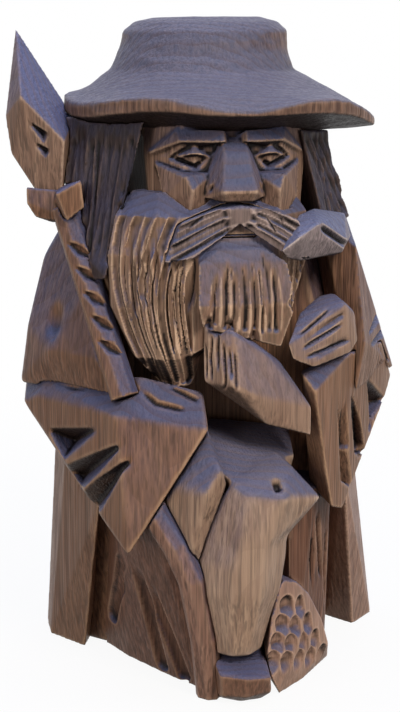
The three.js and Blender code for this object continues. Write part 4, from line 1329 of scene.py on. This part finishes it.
@dataclass
class Spear(SubAssembly):
    """Spearhead, collar, shaft and butt."""

    def blanks(self) -> list[Blank]:
        """The four pieces of the spear.

        Returns:
            Four blanks.
        """
        return [
            Blank("spearhead", SHADED_STAIN, voxel=0.55),
            Blank("spear_collar", STAIN, voxel=0.55),
            Blank("spear_shaft", STAIN, voxel=0.55, sanding=5),
            Blank("spear_butt", RUBBED_AND_LIT_STAIN, voxel=0.55, sanding=6, rounding=60, edge_angle=100),
        ]


@dataclass
class Bird(SubAssembly):
    """The bird's head at the left shoulder."""

    gape: Row = ((27.8, 178.0), (44.5, 167.5))
    gape_size: Span = (3.4, 2.8)

    def blanks(self) -> list[Blank]:
        """The bird's head with its open beak."""
        gape = Cut(self.gape, *self.gape_size)
        return [Blank("raven", ASHEN_STAIN, [gape], voxel=0.45, ridge_gain=0.7, softening=4, hulled=True)]


@dataclass
class Arms(SubAssembly):
    """Shoulders, sleeves and hands."""

    marks: ToolMarks = ToolMarks(across=7.0, along=22.0, depth=0.16, seed=8)
    finger_size: Span = (1.7, 1.5)
    crease_size: Span = (2.8, 1.5)
    pleat_size: Span = (5.5, 3.0)

    def fingers(self) -> dict[str, list[Cut]]:
        """The lines between the fingers of both hands.

        Returns:
            The cuts of each hand by its node.
        """
        hand = (
            ((-13.0, 137.0), (-12.8, 121.0)),
            ((-11.3, 141.0), (-11.4, 118.0)),
            ((-9.1, 140.2), (-9.5, 126.0)),
            ((-7.6, 138.7), (-7.3, 119.0)),
            ((-5.9, 136.0), (-5.4, 124.0)),
            ((-3.8, 135.4), (-3.9, 119.5)),
        )
        fist = (
            ((20.6, 133.3), (40.5, 140.8)),
            ((21.8, 130.3), (44.3, 134.0)),
            ((19.1, 137.7), (35.5, 147.1)),
        )
        return {
            "right_hand": [Cut(path, *self.finger_size) for path in hand],
            "left_fist": [Cut(path, *self.finger_size) for path in fist],
        }

    def creases(self) -> list[Cut]:
        """Two creases on top of the right forearm.

        Returns:
            The right sleeve's cuts.
        """
        return [
            Cut(((-32.9, 121.7), (-27.4, 120.5), (-13.6, 113.5)), *self.crease_size),
            Cut(((-35.1, 117.7), (-29.9, 113.2), (-18.3, 110.7)), *self.crease_size),
        ]

    def pleats(self) -> list[Cut]:
        """Three pleats that open down the side of the left sleeve.

        Returns:
            The left sleeve's cuts.
        """
        paths = (
            ((42.0, 110.4), (44.9, 91.0)),
            ((47.9, 110.9), (54.5, 86.0)),
            ((61.3, 106.9), (62.3, 92.0)),
        )
        return [Cut(path, *self.pleat_size, fade_in=0.6, fade_out=0.0) for path in paths]

    def blanks(self) -> list[Blank]:
        """The shoulders, the sleeves and the hands.

        Returns:
            Six blanks.
        """
        marks, creases, pleats = self.marks, self.creases(), self.pleats()
        sleeve = {"voxel": 0.65, "ridge_gain": 0.7}
        hand = {"sanding": 5, "rounding": 40, "edge_angle": 75, "softening": 14, "ridge_gain": 0.8}
        return [
            Blank("right_shoulder", STAIN, marks=marks, rounding=50, edge_angle=60, softening=15),
            Blank("left_shoulder", STAIN, marks=marks, voxel=0.45, rounding=50, edge_angle=60, softening=3),
            Blank("right_sleeve", STAIN, creases, marks, rounding=70, edge_angle=70, softening=6, **sleeve),
            Blank("left_sleeve", STAIN, pleats, marks, rounding=50, edge_angle=60, softening=4, **sleeve),
            *(Blank(node, SHADED_STAIN, cuts, voxel=0.5, **hand) for node, cuts in self.fingers().items()),
        ]


@dataclass
class Robe(SubAssembly):
    """Trunk, knees, skirt, cloak, shoe and rock."""

    marks: ToolMarks = ToolMarks(across=7.0, along=26.0, depth=0.16, seed=9)
    cup_size: Span = (6.6, 2.2)
    cup_length: float = 6.4
    cup_lean: float = 0.4
    first_cup: Mark = (18.0, 35.5)
    cup_pitch: Mark = (6.2, -2.0)
    cup_row: Mark = (-2.0, -6.6)
    cup_rows: int = 4
    cups_on_top: int = 2
    fold_size: Span = (7.0, 2.6)
    slit_size: Span = (3.2, 2.6)
    dimple_size: Span = (3.4, 1.7)

    def cups(self) -> list[Cut]:
        """Rows of gouge strokes on the rock, each stopped short at its top.

        Returns:
            The rock's cuts.
        """
        cuts = []
        for row in range(self.cup_rows):
            for column in range(row + self.cups_on_top):
                x = self.first_cup[0] + row * self.cup_row[0] + column * self.cup_pitch[0]
                z = self.first_cup[1] + row * self.cup_row[1] + column * self.cup_pitch[1]
                path = ((x, z), (x + self.cup_lean, z - self.cup_length))
                cuts.append(Cut(path, *self.cup_size, CutShape.GOUGE, fade_in=0.0, fade_out=0.95))
        return cuts

    def folds(self) -> list[Cut]:
        """Three folds of the skirt on the right.

        Returns:
            The right skirt's cuts.
        """
        paths = (
            ((-38.6, 48.0), (-40.0, 15.6)),
            ((-35.0, 47.0), (-24.6, 4.0)),
            ((-31.0, 40.0), (-18.0, 3.0)),
        )
        return [Cut(path, *self.fold_size, CutShape.GOUGE, fade_out=0.0) for path in paths]

    def slit(self) -> list[Cut]:
        """One narrow fold of the skirt on the left."""
        return [Cut(((34.7, 66.0), (38.4, 34.0)), *self.slit_size)]

    def dimple(self) -> list[Cut]:
        """A short dent in the robe over the left knee."""
        path = ((11.3, 87.0), (12.4, 81.5))
        return [Cut(path, *self.dimple_size, CutShape.GOUGE, fade_in=0.5, fade_out=0.3)]

    def blanks(self) -> list[Blank]:
        """The robe's pieces and what it rests on.

        Returns:
            Nine blanks.
        """
        marks = self.marks
        knee = {"voxel": 0.6, "rounding": 160, "edge_angle": 110, "softening": 30}
        # The pool numbers scale each piece's pooled stain and painted shade; lower ones leave a piece
        # lighter.
        scuffed = {"sanding": 6, "stain_and_shade_pool": 0.7, "ridge_gain": 1.0}
        chipped = {"sanding": 10, "filling": 30, "stain_and_shade_pool": 1.15, "ridge_gain": 1.3}
        return [
            Blank("trunk", STAIN, marks=marks, voxel=1.0),
            Blank("left_knee", PALE_STAIN, self.dimple(), marks, ridge_gain=0.9, **knee),
            Blank("right_knee", PALE_STAIN, marks=marks, **knee),
            Blank("shoe", DARK_STAIN, voxel=0.6, rounding=60, edge_angle=80, **scuffed),
            Blank("rock", RUBBED_AND_LIT_STAIN, self.cups(), voxel=0.5, **chipped),
            Blank("right_skirt", DARK_STAIN, self.folds(), marks, sanding=8, stain_and_shade_pool=0.8, filling=40),
            Blank("left_skirt", DARK_STAIN, self.slit(), marks, sanding=6),
            Blank("right_cloak", STAIN, marks=marks, stain_and_shade_pool=0.75, ridge_gain=0.8),
            Blank("left_cloak", RUBBED_AND_LIT_STAIN, marks=marks, stain_and_shade_pool=0.75, ridge_gain=1.0),
        ]


@dataclass(frozen=True)
class Lamp:
    """A soft square lamp: its place and side in metres, its power in watts and its sRGB hex colour."""

    name: str
    place: Place
    size: float
    power: float
    colour: str


@dataclass
class Studio:
    """Pale floor, soft lamps and the camera."""

    # The photograph's view: place in mm, direction, and the lens.
    camera_place: Place = (-131.45, -597.27, 252.0)
    camera_look: Place = (0.20327, 0.95631, -0.21013)
    focal_pixels: float = 1602.0
    sensor: float = 36.0
    nearest_seen: float = 0.01
    # The floor, in metres, fades to white around the figure and throws little light back into its folds.
    floor_size: float = 40.0
    floor_white: float = 0.93
    floor_fade: Span = (0.12, 0.5)
    floor_colour: str = "#f2f1ef"
    floor_bounce: str = "#77706a"
    white: str = "#ffffff"
    # The room that the wood sees: cool above and behind, dark in front.
    ceiling: str = "#9db8f0"
    ceiling_way: Place = (0.0, 0.75, 0.65)
    ceiling_edges: Span = (-0.2, 0.6)
    front_wall: str = "#3a3430"
    room_strength: float = 0.36
    lamp_aim: Place = (0.0, 0.0, 0.12)
    lamps: tuple[Lamp, ...] = (
        Lamp("overhead", (0.0, 0.15, 1.25), 0.9, 11.8, "#cfdaff"),
        Lamp("key", (0.3, -0.95, 0.95), 0.4, 10.4, "#fff3e8"),
        Lamp("left_fill", (-0.95, -0.8, 0.4), 0.6, 4.8, "#fff2e6"),
        Lamp("right_fill", (0.95, -0.65, 0.35), 0.6, 2.2, "#fff2e6"),
    )

    def build(self) -> None:
        """Builds floor, world, lamps and camera."""
        self.add_floor()
        self.add_world()
        for lamp in self.lamps:
            self.add_lamp(lamp)
        self.add_camera()
        bpy.context.scene.view_settings.view_transform = "Standard"

    def add_floor(self) -> None:
        """A plain pale floor that takes the figure's shadow."""
        half = self.floor_size / 2
        mesh = bpy.data.meshes.new("floor")
        corners = [(-half, -half, 0), (half, -half, 0), (half, half, 0), (-half, half, 0)]
        mesh.from_pydata(corners, [], [(0, 1, 2, 3)])
        floor = bpy.data.objects.new("floor", mesh)
        bpy.context.scene.collection.objects.link(floor)
        # Matt pale studio paint, lit almost to white: the eye gets a soft contact shadow and no horizon.
        paint = bpy.data.materials.new("pale_floor_paint")
        paint.use_nodes = True
        tree = paint.node_tree
        tree.nodes.clear()
        seen = self.white_rays(tree)
        place = add_node(tree, "ShaderNodeNewGeometry", output="Position")
        away = add_node(tree, "ShaderNodeVectorMath", {0: place}, "Value", operation="LENGTH")
        near, far = self.floor_fade
        fade = {"Value": away, "From Min": near, "From Max": far, "To Min": self.floor_white, "To Max": 1.0}
        bright = add_node(tree, "ShaderNodeMapRange", fade)
        share = add_node(tree, "ShaderNodeMath", {0: seen, 1: bright}, operation="MULTIPLY")
        tones = {0: seen, 6: linear(self.floor_bounce), 7: linear(self.floor_colour)}
        tone = add_node(tree, "ShaderNodeMix", tones, 2, data_type="RGBA")
        matt = add_node(tree, "ShaderNodeBsdfDiffuse", {"Color": tone})
        white = add_node(tree, "ShaderNodeEmission", {"Color": linear(self.white)})
        both = add_node(tree, "ShaderNodeMixShader", {0: share, 1: matt, 2: white})
        add_node(tree, "ShaderNodeOutputMaterial", {"Surface": both})
        mesh.materials.append(paint)
        floor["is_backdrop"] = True

    def white_rays(self, tree: Tree) -> Socket:
        """Picks the rays that see the white background: from the camera, off gloss and through clear things.

        Args:
            tree: The nodes of the floor's paint or of the world.

        Returns:
            1 for such a ray, 0 for one that only lights the figure.
        """
        rays = add_node(tree, "ShaderNodeLightPath").node.outputs
        clear = {0: rays["Is Glossy Ray"], 1: rays["Is Transmission Ray"]}
        shiny = add_node(tree, "ShaderNodeMath", clear, operation="MAXIMUM")
        return add_node(tree, "ShaderNodeMath", {0: rays["Is Camera Ray"], 1: shiny}, operation="MAXIMUM")

    def add_world(self) -> None:
        """White to the camera, and a soft room with a cool ceiling for the figure."""
        world = bpy.data.worlds.new("studio")
        bpy.context.scene.world = world
        world.use_nodes = True
        tree = world.node_tree
        tree.nodes.clear()
        look = add_node(tree, "ShaderNodeTexCoord", output="Generated")
        ways = {0: look, 1: self.ceiling_way}
        behind = add_node(tree, "ShaderNodeVectorMath", ways, "Value", operation="DOT_PRODUCT")
        low, high = self.ceiling_edges
        share = add_node(tree, "ShaderNodeMapRange", {"Value": behind, "From Min": low, "From Max": high})
        walls = {0: share, 6: linear(self.front_wall), 7: linear(self.ceiling)}
        room = add_node(tree, "ShaderNodeMix", walls, 2, data_type="RGBA")
        seen = self.white_rays(tree)
        soft = add_node(tree, "ShaderNodeBackground", {"Color": room, "Strength": self.room_strength})
        white = add_node(tree, "ShaderNodeBackground", {"Color": linear(self.white), "Strength": 1.0})
        both = add_node(tree, "ShaderNodeMixShader", {0: seen, 1: soft, 2: white})
        add_node(tree, "ShaderNodeOutputWorld", {"Surface": both})

    def add_lamp(self, lamp: Lamp) -> None:
        """Adds one lamp that looks at the figure's middle.

        Args:
            lamp: The lamp.
        """
        light = bpy.data.lights.new(lamp.name, "AREA")
        light.size = lamp.size
        light.energy = lamp.power
        light.color = linear(lamp.colour)[:3]
        holder = bpy.data.objects.new(lamp.name, light)
        holder.location = lamp.place
        holder.rotation_mode = "QUATERNION"
        holder.rotation_quaternion = (Vector(self.lamp_aim) - Vector(lamp.place)).to_track_quat("-Z", "Y")
        bpy.context.scene.collection.objects.link(holder)

    def add_camera(self) -> None:
        """Adds the camera at the photograph's viewing angle."""
        lens = bpy.data.cameras.new("camera")
        lens.sensor_width = self.sensor
        lens.lens = self.focal_pixels / IMAGE_HEIGHT * self.sensor
        lens.clip_start = self.nearest_seen
        camera = bpy.data.objects.new("camera", lens)
        camera.location = Vector(self.camera_place) * MM
        camera.rotation_mode = "QUATERNION"
        camera.rotation_quaternion = Vector(self.camera_look).to_track_quat("-Z", "Y")
        bpy.context.scene.collection.objects.link(camera)
        bpy.context.scene.camera = camera


def write_sizes(cad: tuple[Vector, Vector], visual: tuple[Vector, Vector]) -> None:
    """Lays the solids' box and the visual model's box beside each other; the result is not kept.

    Args:
        cad: Lowest and highest corner of the solids.
        visual: Lowest and highest corner of the dressed figure.
    """
    boxes = {"cad": [list(corner) for corner in cad], "visual": [list(corner) for corner in visual]}


def main() -> None:
    """Builds the figure and the studio, and reports each piece."""
    logging.basicConfig(level=logging.INFO, format="%(name)s: %(message)s")
    cad_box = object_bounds()
    Studio().build()
    occlusion = Occlusion()
    for assembly in (Hat(), Head(), Spear(), Bird(), Arms(), Robe()):
        for piece in assembly.build(occlusion):
            LOG.info("%s: %d faces", piece.name, len(piece.data.polygons))
    write_sizes(cad_box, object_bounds())


if __name__ == "__main__":
    main()
